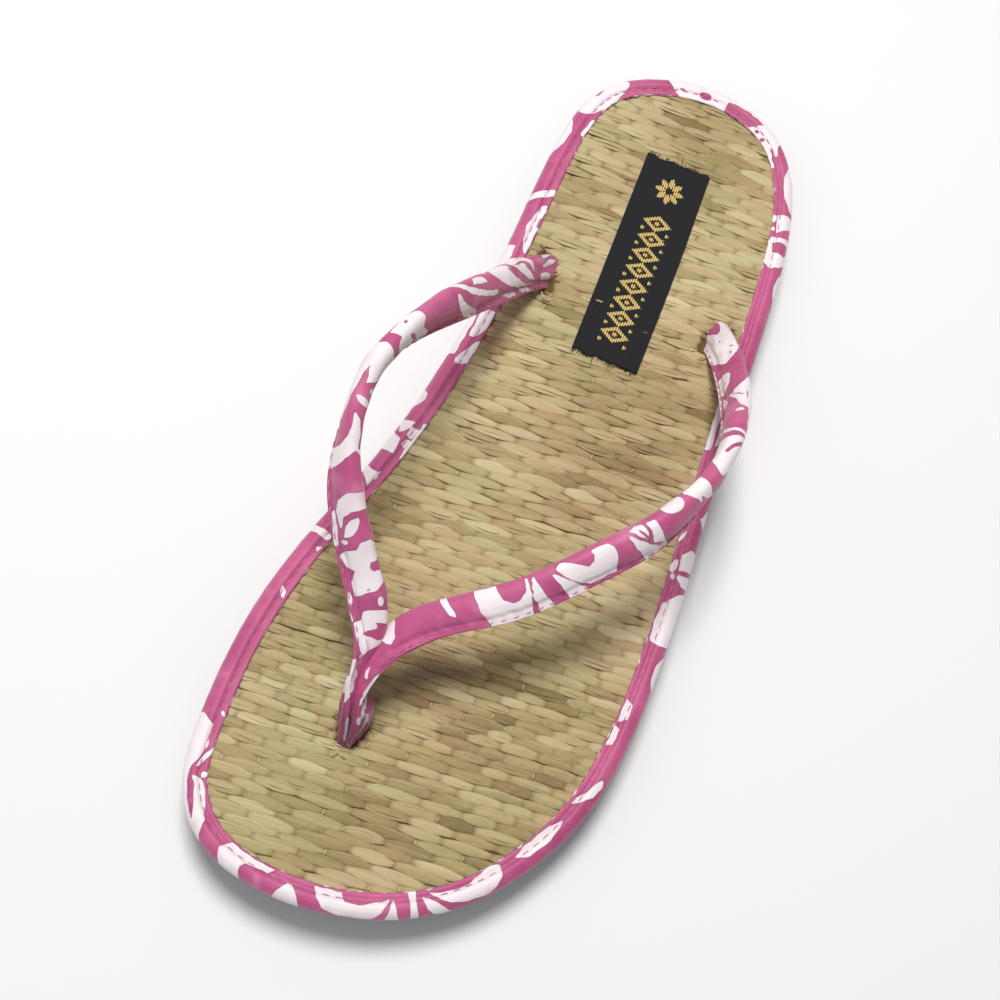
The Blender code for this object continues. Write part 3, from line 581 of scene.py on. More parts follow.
def strap_table(arm_rows, side):
    """Middle line, seam direction, face direction and scales of one strap by its length s."""
    rows = np.array(POST_ROWS + arm_rows)
    rows[:len(POST_ROWS), 1] += side * np.array(POST_SPREADS)
    rows[:len(POST_ROWS), 4] += max(side, 0.0) * np.array(POST_TURNS)
    rows[:, 2] += mat_top(rows[:, 0])
    knots = walked(rows[:, :3])
    path = cubic(knots, rows, np.linspace(0.0, knots[-1], STRAP_STATIONS))
    run = unit(np.gradient(path[:, :3], axis=0))
    seam = path[:, 3:6]
    seam = unit(seam - run * np.sum(seam * run, axis=1)[:, None])
    face = np.cross(run, seam)
    return walked(path[:, :3]), np.column_stack((path[:, :3], seam, face, path[:, 6:8]))


MEDIAL = (*strap_table(MEDIAL_ROWS, -1.0), 1.0)
LATERAL = (*strap_table(LATERAL_ROWS, 1.0), -1.0)
# Along the toe post each flange is folded double and leans towards its twin.
POST_TOP = 25.0
POST_EASE = 7.0
POST_FLANGE_THICKEN = 1.0
POST_FLANGE_SHIFT = 0.66
# Where a section passes from its padded body into the flange.
FLANGE_START = 1.3
FLANGE_EASE = 1.3


def on_strap(strap, s, t, lift):
    """Points of a strap's surface at (s, t), raised by lift."""
    length, table, inward = strap
    row = columns_at(s, length, table)
    section = columns_at(np.mod(t, STRAP_GIRTH), SECTION_LENGTH, SECTION_ROWS)
    seam, face, scale = row[:, 3:6], row[:, 6:9], row[:, 9:11]
    flat = section[:, :2] * scale + section[:, 2:4] * lift[:, None]
    doubled = smoothstep((POST_TOP - s) / POST_EASE)
    doubled *= smoothstep((section[:, 0] - FLANGE_START) / FLANGE_EASE)
    flat[:, 1] += doubled * (POST_FLANGE_THICKEN * flat[:, 1] + POST_FLANGE_SHIFT * inward)
    return row[:, :3] + seam * flat[:, 0:1] + face * flat[:, 1:2]


def on_binding(s, t, lift):
    """Points of the edge strip at (s, t), raised by lift."""
    place, out = edge_at(s)
    section = columns_at(np.mod(t, BINDING_GIRTH), PROFILE_LENGTH, PROFILE_ROWS)
    flat = section[:, :2] + section[:, 2:4] * lift[:, None]
    plan = place + out * (flat[:, 0:1] - BINDING_WIDTH)
    return np.column_stack((plan, mat_top(plan[:, 0]) + flat[:, 1]))


def wander(a, b, length, seed, waves=6):
    """Smooth unevenness of about -1..1 over two measures, with this typical length.

    Each seed gives a pattern of its own.
    """
    rng = np.random.default_rng(seed)
    total = np.zeros(np.broadcast(a, b).shape)
    for _ in range(waves):
        turn = rng.uniform(0.0, 2.0 * math.pi)
        wave = 2.0 * math.pi / (length * rng.uniform(0.7, 1.9))
        total += np.sin((a * math.cos(turn) + b * math.sin(turn)) * wave + rng.uniform(0.0, 6.3))
    return total / math.sqrt(waves)


# ---------------------------------------------------------------- painted shapes


def beside(s, t, start, end):
    """Where along a straight line each point lies, 0 to 1, and how far it is from the line."""
    (ax, ay), (bx, by) = start, end
    ex, ey = bx - ax, by - ay
    share = np.clip(((s - ax) * ex + (t - ay) * ey) / (ex * ex + ey * ey), 0.0, 1.0)
    return share, np.hypot(s - ax - share * ex, t - ay - share * ey)


def nearest(s, t, starts, ends):
    """Distance from the nearest of several straight lines."""
    return np.min([beside(s, t, start, end)[1] for start, end in zip(starts, ends)], axis=0)


def patch(s, t, points):
    """Distance inside a closed outline, negative outside."""
    ends = points[1:] + points[:1]
    inside = np.zeros(s.shape, bool)
    for (ax, ay), (bx, by) in zip(points, ends):
        if ay != by:
            inside ^= ((ay > t) != (by > t)) & (s < (bx - ax) * (t - ay) / (by - ay) + ax)
    near = nearest(s, t, points, ends)
    return np.where(inside, near, -near)


def oval(s, t, sizes):
    """Distance inside an ellipse given by its middle, length, width and turn."""
    cs, ct, length, width, turn = sizes
    c, d = math.cos(math.radians(turn)), math.sin(math.radians(turn))
    along = ((s - cs) * c + (t - ct) * d) / (0.5 * length)
    across = ((t - ct) * c - (s - cs) * d) / (0.5 * width)
    reach = np.hypot(along, across)
    slope = np.hypot(along / (0.5 * length), across / (0.5 * width))
    return (1.0 - reach) * reach / np.maximum(slope, 1e-6)


def band(s, t, points, width):
    """Distance inside a stroke of even width along a line of points."""
    return 0.5 * width - nearest(s, t, points, points[1:])


def leaf(s, t, points, width):
    """Distance inside a lens between two tips."""
    (ax, ay), (bx, by) = points
    length = math.hypot(bx - ax, by - ay)
    c, d = (bx - ax) / length, (by - ay) / length
    along = ((s - ax) * c + (t - ay) * d) / length * 2.0 - 1.0
    across = (t - ay) * c - (s - ax) * d
    return 0.5 * width * (1.0 - along ** 2) - np.abs(across)


SHAPES = {"patch": patch, "oval": oval, "band": band, "leaf": leaf}
# How far outside a shape its distance is still worked out.
PAINT_REACH = 2.0


def extent(shape, args):
    """Lowest and highest s that a painted shape can touch."""
    if shape == "oval":
        middle, half = args[0][0], 0.5 * max(args[0][2], args[0][3])
        return middle - half, middle + half
    along = [point[0] for point in args[0]]
    extra = args[1] if len(args) > 1 else 0.0
    return min(along) - extra, max(along) + extra


def painted(chart, s, t, wobble=0.1):
    """How far each point lies inside the white of a print, in millimetres, negative in the pink."""
    s = s + wobble * wander(s, t, 2.6, 3)
    t = t + wobble * wander(s, t, 2.6, 4)
    depth = np.full(s.shape, -PAINT_REACH)
    for paint, shape, *args in chart:
        low, high = extent(shape, args)
        near = (s > low - PAINT_REACH) & (s < high + PAINT_REACH)
        inside = SHAPES[shape](s[near], t[near], *args)
        if paint == WHITE:
            depth[near] = np.maximum(depth[near], inside)
        else:
            depth[near] = np.minimum(depth[near], -inside)
    return depth


# ---------------------------------------------------------------- mesh helpers

CLOTH_MAP = "Cloth"


def add_facts(mesh, facts):
    """Store one number per vertex under each name."""
    for name, values in facts.items():
        layer = mesh.attributes.new(name, "FLOAT", "POINT")
        layer.data.foreach_set("value", np.ascontiguousarray(values, dtype=np.float32))


def add_map(mesh, chart):
    """Keep each vertex's place on the cloth, in millimetres, as the mesh's map."""
    corner = np.empty(len(mesh.loops), np.int32)
    mesh.loops.foreach_get("vertex_index", corner)
    layer = mesh.uv_layers.new(name=CLOTH_MAP)
    layer.data.foreach_set("uv", chart[corner].astype(np.float32).ravel())


def opened(mesh):
    """A mesh opened for bmesh operators."""
    bm = bmesh.new()
    bm.from_mesh(mesh)
    return bm


def finished(bm, mesh):
    """The mesh again, with its faces turned outward and shaded smooth."""
    bmesh.ops.recalc_face_normals(bm, faces=bm.faces)
    bm.to_mesh(mesh)
    bm.free()
    mesh.shade_smooth()
    return mesh


def grid_mesh(name, columns, rows, place, facts_at=None):
    """A grid carried by place(u, v) onto a surface, with (s, t) millimetres as its map.

    place returns points in millimetres and their map; facts_at turns the map into
    numbers kept at the vertices.
    """
    bm = bmesh.new()
    bmesh.ops.create_grid(bm, x_segments=columns, y_segments=rows, size=0.5)
    mesh = bpy.data.meshes.new(name)
    bm.to_mesh(mesh)
    bm.free()
    flat = np.empty(len(mesh.vertices) * 3, np.float32)
    mesh.vertices.foreach_get("co", flat)
    flat = flat.reshape(-1, 3)[:, :2].astype(float)
    share = (flat - flat.min(axis=0)) / np.ptp(flat, axis=0)
    points, chart = place(share[:, 0], share[:, 1])
    mesh.vertices.foreach_set("co", (points * MM).astype(np.float32).ravel())
    add_map(mesh, chart)
    if facts_at:
        add_facts(mesh, facts_at(chart[:, 0], chart[:, 1]))
    return mesh


def close_mesh(mesh, fill=True):
    """Weld meeting rows and fill open ends."""
    bm = opened(mesh)
    bmesh.ops.remove_doubles(bm, verts=bm.verts, dist=1e-6)
    if fill:
        bmesh.ops.holes_fill(bm, edges=[e for e in bm.edges if e.is_boundary], sides=0)
    return finished(bm, mesh)


def slab_mesh(name, limits, ends, low, high, columns, rows, bevel):
    """A footbed-shaped slab: a grid spread between the two sides, extruded up and rounded."""
    def place(u, v):
        middle = 0.5 * (ends[0] + ends[1])
        half = 0.5 * (ends[1] - ends[0])
        x = middle + half * np.sin(math.pi * (u - 0.5))
        first, last = limits(x)
        y = first + (last - first) * (0.5 - 0.5 * np.cos(math.pi * v))
        return np.column_stack((x, y, low(x))), np.column_stack((x, y))

    mesh = grid_mesh(name, columns, rows, place)
    bm = opened(mesh)
    made = bmesh.ops.extrude_face_region(bm, geom=list(bm.faces))
    for element in made["geom"]:
        if isinstance(element, bmesh.types.BMVert):
            element.co.z = float(high(element.co.x * TO_MM)) * MM
    bmesh.ops.recalc_face_normals(bm, faces=bm.faces)
    # The rims: nearly level edges where the wall meets the top and the bottom.
    rim = [e for e in bm.edges if len(e.link_faces) == 2 and e.calc_face_angle(0.0) > 1.0
           and abs(e.verts[0].co.z - e.verts[1].co.z) < MM]
    bmesh.ops.bevel(bm, geom=rim, offset=bevel * MM, offset_type="OFFSET", segments=3,
                    profile=0.5, affect="EDGES", material=-1, clamp_overlap=True)
    return finished(bm, mesh)


def strands_mesh(name, paths, face, widths, heights, facts, sides=6):
    """Many thin strands joined in one mesh.

    paths is strands x stations x 3 in millimetres, face the direction of each strand's
    broad side, widths and heights its half sizes at each station, facts its numbers.
    """
    run = np.gradient(paths, axis=1)
    run /= np.maximum(np.linalg.norm(run, axis=2), 1e-9)[:, :, None]
    across = np.cross(face, run)
    across /= np.maximum(np.linalg.norm(across, axis=2), 1e-9)[:, :, None]
    up = np.cross(run, across)
    turn = np.arange(sides) * 2.0 * math.pi / sides + math.pi / 2.0
    ring = (
        across[:, :, None] * (np.cos(turn)[None, None, :, None] * widths[:, :, None, None])
        + up[:, :, None] * (np.sin(turn)[None, None, :, None] * heights[:, :, None, None])
    )
    verts = (paths[:, :, None] + ring) * MM
    index = np.arange(verts.size // 3).reshape(verts.shape[:3])
    near, far = index[:, :-1], index[:, 1:]
    quads = np.stack((near, np.roll(near, -1, axis=2), np.roll(far, -1, axis=2), far), axis=-1)
    mesh = bpy.data.meshes.new(name)
    faces = quads.reshape(-1, 4).tolist()
    faces += index[:, 0, ::-1].tolist()
    faces += index[:, -1].tolist()
    mesh.from_pydata(verts.reshape(-1, 3), [], faces)

    def spread(values):
        return np.broadcast_to(values, index.shape).ravel()

    steps = np.linalg.norm(np.diff(paths, axis=1, prepend=paths[:, :1]), axis=2)
    along = np.cumsum(steps, axis=1)[:, :, None]
    add_map(mesh, np.column_stack((spread(along), spread(0.5 * turn))))
    add_facts(mesh, {key: spread(value[:, :, None]) for key, value in facts.items()})
    mesh.update()
    return finished(opened(mesh), mesh)


def threads_mesh(name, paths, width, height, tone, sunk=0.0, hue=0.5):
    """Thin six-sided strands that lie flat: half sizes by station, one tone to each."""
    up = np.zeros(paths.shape)
    up[..., 2] = 1.0
    width, height, tone, sunk, hue = (
        np.broadcast_to(values, paths.shape[:2]) for values in (width, height, tone, sunk, hue))
    return strands_mesh(name, paths, up, width, height, {"tone": tone, "sunk": sunk, "hue": hue})


def add_piece(name, mesh, material, replaced=()):
    """Link a finished mesh, give it its material and let it ride on the shoe."""
    made = bpy.data.objects.new(name, mesh)
    bpy.context.scene.collection.objects.link(made)
    mesh.materials.clear()
    mesh.materials.append(material)
    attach(made, "root")
    if replaced:
        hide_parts(*replaced)
    return made


# ---------------------------------------------------------------- materials


def linear(code, alpha=1.0):
    """An sRGB hex colour as the linear values that shaders take."""
    parts = [int(code[i:i + 2], 16) / 255.0 for i in (1, 3, 5)]
    return (*[p / 12.92 if p <= 0.04045 else ((p + 0.055) / 1.055) ** 2.4 for p in parts], alpha)


def size(name):
    """One of the panel's lengths, in millimetres."""
    return getattr(bpy.context.scene.sandal_sizes, name) * TO_MM


def tint(name):
    """One of the panel's colours, as the linear values that shaders take."""
    return tuple(getattr(bpy.context.scene.sandal_colours, name))


def feed(made, inputs):
    """Set a node's sockets, or link them to an output or to the first output of a node."""
    for key, value in inputs.items():
        if isinstance(value, bpy.types.Node):
            value = next(out for out in value.outputs if out.enabled)
        if isinstance(value, bpy.types.NodeSocket):
            made.id_data.links.new(value, made.inputs[key])
        else:
            made.inputs[key].default_value = value


def node(tree, kind, inputs=None, **props):
    """Add one shader node with its properties, its sockets' values and its incoming links."""
    made = tree.nodes.new("ShaderNode" + kind)
    for key, value in props.items():
        setattr(made, key, value)
    feed(made, inputs or {})
    return made


def new_material(name, constants):
    """A node material with the shader's constants set: returns it, its tree and its shader."""
    made = bpy.data.materials.new(name)
    made.use_nodes = True
    shader = made.node_tree.nodes["Principled BSDF"]
    feed(shader, constants)
    return made, made.node_tree, shader


def ribs(tree, along, rate):
    """Rounded threads side by side: 1 along their crests, -1 between them."""
    turn = node(tree, "Math", {0: along, 1: rate}, operation="MULTIPLY")
    return node(tree, "Math", {0: turn}, operation="SINE")


def printed_cotton():
    """Glazed printed cotton: white flowers on a magenta ground, fine weave, faded, darker in
    places, with painted shade and painted highlights.
    """
    made, tree, shader = new_material("printed_cotton", {
        "Sheen Weight": 0.18, "Sheen Roughness": 0.45, "Specular IOR Level": 0.35})
    chart = node(tree, "UVMap", uv_map=CLOTH_MAP)
    depth, soil, fold = (node(tree, "Attribute", attribute_name=fact).outputs["Fac"]
                         for fact in ("print_depth", "soil", "fold"))
    # Ink edge: a fifth of a millimetre wide, frayed by grit of 0.45 mm, as cloth frays it.
    grit = node(tree, "TexNoise", {"Vector": chart, "Scale": 2.2, "Detail": 2.0})
    edge = node(tree, "Math", {0: grit, 1: 0.22}, operation="MULTIPLY")
    edge = node(tree, "Math", {0: edge, 1: -0.11}, operation="ADD")
    depth = node(tree, "Math", {0: depth, 1: edge}, operation="ADD")
    white = node(tree, "MapRange", {"Value": depth, "From Min": -0.1, "From Max": 0.1},
                 interpolation_type="SMOOTHSTEP")
    # Magenta ground: faded areas some 17 mm across, and cloudy spots of 2 mm.
    broad = node(tree, "TexNoise", {"Vector": chart, "Scale": 0.06, "Detail": 3.0,
                                    "Roughness": 0.6})
    ground = node(tree, "ValToRGB", {"Fac": broad})
    ramp = ground.color_ramp
    ramp.elements[0].position, ramp.elements[0].color = 0.32, tint("print_deep")
    ramp.elements[1].position, ramp.elements[1].color = 0.68, tint("print_pale")
    small = node(tree, "TexNoise", {"Vector": chart, "Scale": 0.45, "Detail": 4.0,
                                    "Roughness": 0.65})
    paler = node(tree, "MapRange", {"Value": small, "From Min": 0.52, "From Max": 0.8,
                                    "To Max": 0.25})
    ground = node(tree, "Mix", {0: paler, 6: ground, 7: linear("#D58BAC")}, data_type="RGBA")
    # A thin darker mauve line runs round each flower.
    rim = node(tree, "MapRange", {"Value": depth, "From Min": -0.38, "From Max": -0.06,
                                  "To Max": 0.6}, interpolation_type="SMOOTHSTEP")
    ground = node(tree, "Mix", {0: rim, 6: ground, 7: linear("#8C4F6C")}, data_type="RGBA")
    # White flowers: the ground shows a little through them.
    chalk = node(tree, "Mix", {0: small, 6: tint("print_flower"), 7: linear("#EADCE0")},
                 data_type="RGBA")
    inked = node(tree, "Mix", {0: white, 6: ground, 7: chalk}, data_type="RGBA")
    # Weave: threads 0.57 mm apart, about twice as coarse as the real ones, so that they show.
    axes = node(tree, "SeparateXYZ", {0: chart})
    weft, warp = (ribs(tree, axes.outputs[axis], 11.0) for axis in "XY")
    weave = node(tree, "Math", {0: weft, 1: warp}, operation="MULTIPLY")
    shine = node(tree, "MapRange", {"Value": weave, "From Min": -1.0, "To Min": 0.93,
                                    "To Max": 1.04})
    woven = node(tree, "Mix", {0: 1.0, 6: inked, 7: shine}, data_type="RGBA", blend_type="MULTIPLY")
    # Darker, in patches, in the stitch channel, at the raw edge, low on the edge strip's outer wall
    # and where the straps enter the mat; painted shade darkens the foot of the toe post.
    darkening = node(tree, "Math", {0: soil, 1: small}, operation="MULTIPLY")
    darkening = node(tree, "Math", {0: darkening, 1: 1.5}, operation="MULTIPLY")
    darkened = node(tree, "Mix", {0: darkening, 6: woven, 7: linear("#6C3350")}, data_type="RGBA")
    # Painted highlight: a paler line along the crests of the folds.
    highlighted = node(tree, "Mix", {0: fold, 6: darkened, 7: linear("#E7A9C8")}, data_type="RGBA")
    gloss = node(tree, "MapRange", {"Value": small, "To Min": 0.40, "To Max": 0.58})
    height = node(tree, "Math", {0: small, 1: 0.4}, operation="MULTIPLY")
    height = node(tree, "Math", {0: height, 1: weave}, operation="ADD")
    bump = node(tree, "Bump", {"Height": height, "Strength": 0.16, "Distance": 0.0001})
    feed(shader, {"Base Color": highlighted, "Roughness": gloss, "Normal": bump})
    return made


def plant_strand(name, dark, middle, pale, roughness, streak=0.9, rust=0.0):
    """Dry plant or thread strands: each has its own tone, with fibres and rusty flecks along it."""
    made, tree, shader = new_material(name, {"Specular IOR Level": 0.4})
    chart = node(tree, "UVMap", uv_map=CLOTH_MAP)
    tone, sunk = (node(tree, "Attribute", attribute_name=fact).outputs["Fac"]
                  for fact in ("tone", "sunk"))
    # Fibres: streaks some 2 mm long down each strand, different from one strand to the next.
    stretch = node(tree, "Mapping", {"Vector": chart, "Scale": (0.35, 9.0, 1.0)})
    object_at = node(tree, "TexCoord").outputs["Object"]
    shift = node(tree, "Mapping", {"Vector": object_at, "Scale": (400.0, 60.0, 400.0)})
    along = node(tree, "VectorMath", {0: stretch, 1: shift}, operation="ADD")
    fibre = node(tree, "TexNoise", {"Vector": along, "Scale": 1.6, "Detail": 3.0, "Roughness": 0.6})
    mixed = node(tree, "Math", {0: fibre, 1: streak}, operation="MULTIPLY")
    mixed = node(tree, "Math", {0: mixed, 1: -0.5 * streak}, operation="ADD")
    mixed = node(tree, "Math", {0: mixed, 1: tone}, operation="ADD")
    colour = node(tree, "ValToRGB", {"Fac": mixed})
    ramp = colour.color_ramp
    ramp.elements[0].position, ramp.elements[0].color = 0.08, dark
    ramp.elements[1].position, ramp.elements[1].color = 0.95, pale
    ramp.elements.new(0.5).color = middle
    # Some strands dried greener, others warmer.
    hue = node(tree, "Attribute", attribute_name="hue").outputs["Fac"]
    cast = node(tree, "Mix", {0: hue, 6: (0.93, 1.0, 0.84, 1.0), 7: (1.06, 0.98, 0.96, 1.0)},
                data_type="RGBA")
    cast = node(tree, "Mix", {0: 1.0, 6: colour, 7: cast}, data_type="RGBA", blend_type="MULTIPLY")
    # Rusty flecks, about 2 mm long.
    fleck_at = node(tree, "Mapping", {"Vector": chart, "Scale": (0.5, 1.6, 1.0)})
    fleck_at = node(tree, "VectorMath", {0: fleck_at, 1: shift}, operation="ADD")
    fleck = node(tree, "TexNoise", {"Vector": fleck_at, "Scale": 0.9, "Detail": 5.0,
                                    "Roughness": 0.7})
    fleck = node(tree, "MapRange", {"Value": fleck, "From Min": 0.60, "From Max": 0.74,
                                    "To Max": rust})
    flecked = node(tree, "Mix", {0: fleck, 6: cast, 7: linear("#7D5530")}, data_type="RGBA")
    # Painted shade: where a strand dives it is darkened to dull brown, as in its neighbours' shade;
    # a few frays take this brown as their own colour.
    shade = node(tree, "Mix", {0: sunk, 6: flecked, 7: linear("#664A25")}, data_type="RGBA")
    dull = node(tree, "MapRange", {"Value": fibre, "To Min": roughness, "To Max": roughness + 0.25})
    bump = node(tree, "Bump", {"Height": fibre, "Strength": 0.5, "Distance": 0.00012})
    feed(shader, {"Base Color": shade, "Roughness": dull, "Normal": bump})
    return made


def dry_rush():
    """Flattened rush stems: straw to olive, glossy on the crests, with painted shade, dull brown,
    in the dips.
    """
    return plant_strand("dry_rush", tint("rush_deep"), tint("rush_middle"), tint("rush_pale"),
                        roughness=0.55, rust=0.5)


def foam(name, dark, pale, grain_mm, roughness):
    """Closed-cell foam: a cut skin of fine cells, with dust and scuffs along its edges."""
    made, tree, shader = new_material(name, {"Specular IOR Level": 0.3})
    place = node(tree, "TexCoord").outputs["Object"]
    cells = node(tree, "TexVoronoi", {"Vector": place, "Scale": TO_MM / grain_mm})
    # Scuffs and dust gather in patches of about 11 mm.
    scuff = node(tree, "TexNoise", {"Vector": place, "Scale": 90.0, "Detail": 8.0,
                                    "Roughness": 0.7})
    dust = node(tree, "MapRange", {"Value": scuff, "From Min": 0.45, "From Max": 0.75})
    colour = node(tree, "Mix", {0: dust, 6: dark, 7: pale}, data_type="RGBA")
    dull = node(tree, "MapRange", {"Value": scuff, "To Min": roughness, "To Max": roughness + 0.2})
    bump = node(tree, "Bump", {"Height": cells, "Strength": 0.35, "Distance": 0.0002})
    feed(shader, {"Base Color": colour, "Roughness": dull, "Normal": bump})
    return made


def woven_label():
    """Label satin: a black ribbed ground with an ornament in old-gold thread."""
    made, tree, shader = new_material("label_satin", {"Specular IOR Level": 0.2})
    chart = node(tree, "UVMap", uv_map=CLOTH_MAP)
    depth = node(tree, "Attribute", attribute_name="motif_depth").outputs["Fac"]
    axes = node(tree, "SeparateXYZ", {0: chart})
    # Ribs 0.45 mm apart across the label and threads 0.63 mm apart along it: twice the real
    # weave's size, so that they show, and coarse enough to step the ornament's edge.
    rib = ribs(tree, axes.outputs["X"], 14.0)
    pick = ribs(tree, axes.outputs["Y"], 10.0)
    grit = node(tree, "TexNoise", {"Vector": chart, "Scale": 1.3, "Detail": 5.0, "Roughness": 0.7})
    stepped = node(tree, "Math", {0: pick, 1: 0.12}, operation="MULTIPLY")
    depth = node(tree, "Math", {0: depth, 1: stepped}, operation="ADD")
    gold = node(tree, "MapRange", {"Value": depth, "From Min": -0.07, "From Max": 0.07})
    ground = node(tree, "Mix", {0: grit, 6: tint("label_ground"), 7: linear("#26272A")},
                  data_type="RGBA")
    thread = node(tree, "MapRange", {"Value": pick, "From Min": -1.0})
    metal = node(tree, "Mix", {0: thread, 6: linear("#9C7F38"), 7: tint("label_gold")},
                 data_type="RGBA")
    colour = node(tree, "Mix", {0: gold, 6: ground, 7: metal}, data_type="RGBA")
    dull = node(tree, "MapRange", {"Value": gold, "To Min": 0.72, "To Max": 0.45})
    height = node(tree, "Math", {0: rib, 1: pick}, operation="ADD")
    bump = node(tree, "Bump", {"Height": height, "Strength": 0.3, "Distance": 0.0001})
    feed(shader, {"Base Color": colour, "Roughness": dull, "Normal": bump})
    return made


def plain_floor():
    """Matt pale paper under the shoe, faintly uneven over a third of a metre."""
    made, tree, shader = new_material("studio_paper", {"Specular IOR Level": 0.2})
    place = node(tree, "TexCoord").outputs["Object"]
    cloud = node(tree, "TexNoise", {"Vector": place, "Scale": 3.0, "Detail": 2.0})
    colour = node(tree, "Mix", {0: cloud, 6: linear("#EAEAEA"), 7: tint("floor")}, data_type="RGBA")
    feed(shader, {"Base Color": colour, "Roughness": 0.9})
    return made


# ---------------------------------------------------------------- the pieces


def dips(along, pitch, width):
    """Narrow dimples of depth 1 at every pitch."""
    near = np.mod(along + 0.5 * pitch, pitch) - 0.5 * pitch
    return bell(near, width)


def crease_field(s, t, creases):
    """Soft troughs and ridges: start, end, half width and height in millimetres each."""
    total = np.zeros(s.shape)
    for start, end, width, height in creases:
        share, off = beside(s, t, start, end)
        fade = np.clip(1.15 - np.abs(2.0 * share - 1.0) ** 3, 0.0, 1.0)
        total += height * fade * bell(off, width)
    return total


# On the edge strip: the stitch line and how far round its face is seen, from its inner edge,
# and a stitch's length.
STITCH_LINE = 2.75
STRIP_SEEN = 13.2
BINDING_STITCH = 2.2
# On a strap: the seam's distance from the edge of the flange, a stitch's length, and where the
# seam starts up the post and ends before the tail's tip.
STRAP_STITCH_LINE = 1.35
STRAP_STITCH = 1.8
SEAM_START = 26.0
SEAM_END = 5.0
# Half the sewing thread's thickness.
THREAD_HALF = 0.12


def binding_gather(s):
    """How strongly the edge strip is gathered: most round the toe and the heel."""
    toe = bell(s - 292.0, 62.0)
    heel = bell(np.mod(s + 200.0, BINDING_ROUND) - 200.0, 45.0)
    return 0.35 + 0.65 * np.maximum(toe, heel)


def binding_relief(s, t):
    """Stitch channel with a dimple at each stitch, and gathers across the strip.

    Every height, width and place is in millimetres, as in the other reliefs.
    """
    channel = -0.15 * bell(t - STITCH_LINE, 0.55)
    channel -= 0.13 * bell(t - STITCH_LINE, 0.45) * dips(s, size("binding_pitch"), 0.5)
    seen = smoothstep((13.5 - t) / 3.0)
    lean = 0.55 * wander(s, 0.0, 30.0, 11)
    folds = wander(s + lean * t, 0.25 * t, 3.6, 12)
    folds = np.abs(folds) ** 1.4 * np.sign(folds)
    outer = smoothstep((t - STITCH_LINE) / 2.0) * smoothstep((11.5 - t) / 5.0)
    inner = smoothstep((STITCH_LINE - t) / 1.6) * smoothstep(t / 0.8)
    gathers = 0.08 * binding_gather(s) * folds * (outer + 0.6 * inner)
    ragged = 0.12 * wander(s, t, 1.7, 14) * smoothstep((1.0 - t) / 1.0) * smoothstep(t / 0.3)
    soft = 0.04 * wander(s, 1.7 * t, 18.0, 15) * outer
    return (channel + gathers + soft) * seen + ragged


def binding_lift(s, t):
    """The strip's relief, eased so that its end meets its start at the heel."""
    weight = smoothstep((s - BINDING_ROUND + 20.0) / 20.0)
    return (1.0 - weight) * binding_relief(s, t) + weight * binding_relief(s - BINDING_ROUND, t)


def build_binding():
    """The printed strip, folded round the edge from over the mat to under the board."""
    columns, rows_seen, rows_hidden = 1000, 40, 12
    seen = STRIP_SEEN / BINDING_GIRTH

    def place(u, v):
        split = rows_seen / (rows_seen + rows_hidden)
        t = np.where(v < split, v / split * seen, seen + (v - split) / (1.0 - split) * (1.0 - seen))
        t = t * BINDING_GIRTH
        s = u * BINDING_ROUND
        return on_binding(s, t, binding_lift(s, t)), np.column_stack((s, t))

    def facts(s, t):
        wrapped = np.mod(s + 2.0, BINDING_ROUND) - 2.0
        raw = 0.45 + 0.25 * wander(s, 0.0, 3.0, 21) - t
        # Darker in the stitch channel, at the raw inner edge in patches, and low on the outer wall.
        depth = np.maximum(painted(BINDING_PRINT, wrapped, t), raw)
        channel = bell(t - STITCH_LINE, 0.5)
        edge = smoothstep((1.2 - t) / 1.0)
        grime = smoothstep(0.5 + 0.8 * wander(s, t, 26.0, 22))
        soil = 0.20 * channel + 0.35 * edge * grime + 0.25 * smoothstep((t - 9.0) / 3.0)
        crest_highlight = np.clip(binding_relief(s, t) * 2.2 - 0.12, 0.0, 0.45)
        return {"print_depth": depth, "soil": soil, "fold": crest_highlight * smoothstep((t - 3.0) / 1.0)}

    mesh = grid_mesh("edge_strip", columns, rows_seen + rows_hidden, place, facts)
    close_mesh(mesh, fill=False)
    made = add_piece("edge_strip", mesh, printed_cotton(), ("edge_binding",))
    return made


# Creases, listed one by one: start, end, half width and height; below zero is a trough.
MEDIAL_CREASES = (
    ((22.0, 19.0), (31.0, 17.5), 0.8, -0.30),
    ((24.0, 4.0), (36.0, 5.5), 0.9, -0.28),
    ((27.0, 7.5), (37.0, 9.0), 1.1, 0.20),
    ((30.0, 12.5), (44.0, 11.0), 1.2, -0.20),
    ((68.0, 6.0), (71.0, 14.0), 1.6, -0.14),
    ((112.0, 9.0), (119.0, 17.0), 1.5, -0.20),
    ((121.0, 8.0), (125.0, 16.0), 1.3, 0.14),
    ((140.0, 18.5), (158.0, 19.5), 0.9, -0.25),
    ((158.0, 8.0), (168.0, 13.5), 1.0, -0.34),
    ((161.0, 14.0), (174.0, 14.5), 0.8, 0.26),
    ((166.0, 11.5), (176.0, 9.0), 0.9, -0.30),
    ((167.0, 17.5), (178.0, 15.8), 0.8, -0.34),
)
LATERAL_CREASES = (
    ((23.0, 3.0), (35.4, 5.0), 0.9, -0.30),
    ((26.0, 18.5), (38.4, 17.0), 0.9, -0.28),
    ((30.5, 9.0), (42.4, 12.0), 1.2, -0.22),
    ((48.4, 12.0), (54.4, 19.0), 1.5, -0.12),
    ((98.4, 12.0), (110.4, 16.0), 1.6, -0.12),
    ((130.4, 4.0), (135.4, 13.0), 1.3, -0.20),
    ((138.4, 3.0), (154.4, 2.6), 0.8, -0.22),
    ((162.4, 5.0), (172.4, 8.0), 1.0, -0.24),
    ((166.4, 10.0), (178.4, 8.5), 0.9, -0.26),
    ((170.4, 3.5), (179.4, 6.0), 0.8, 0.22),
)


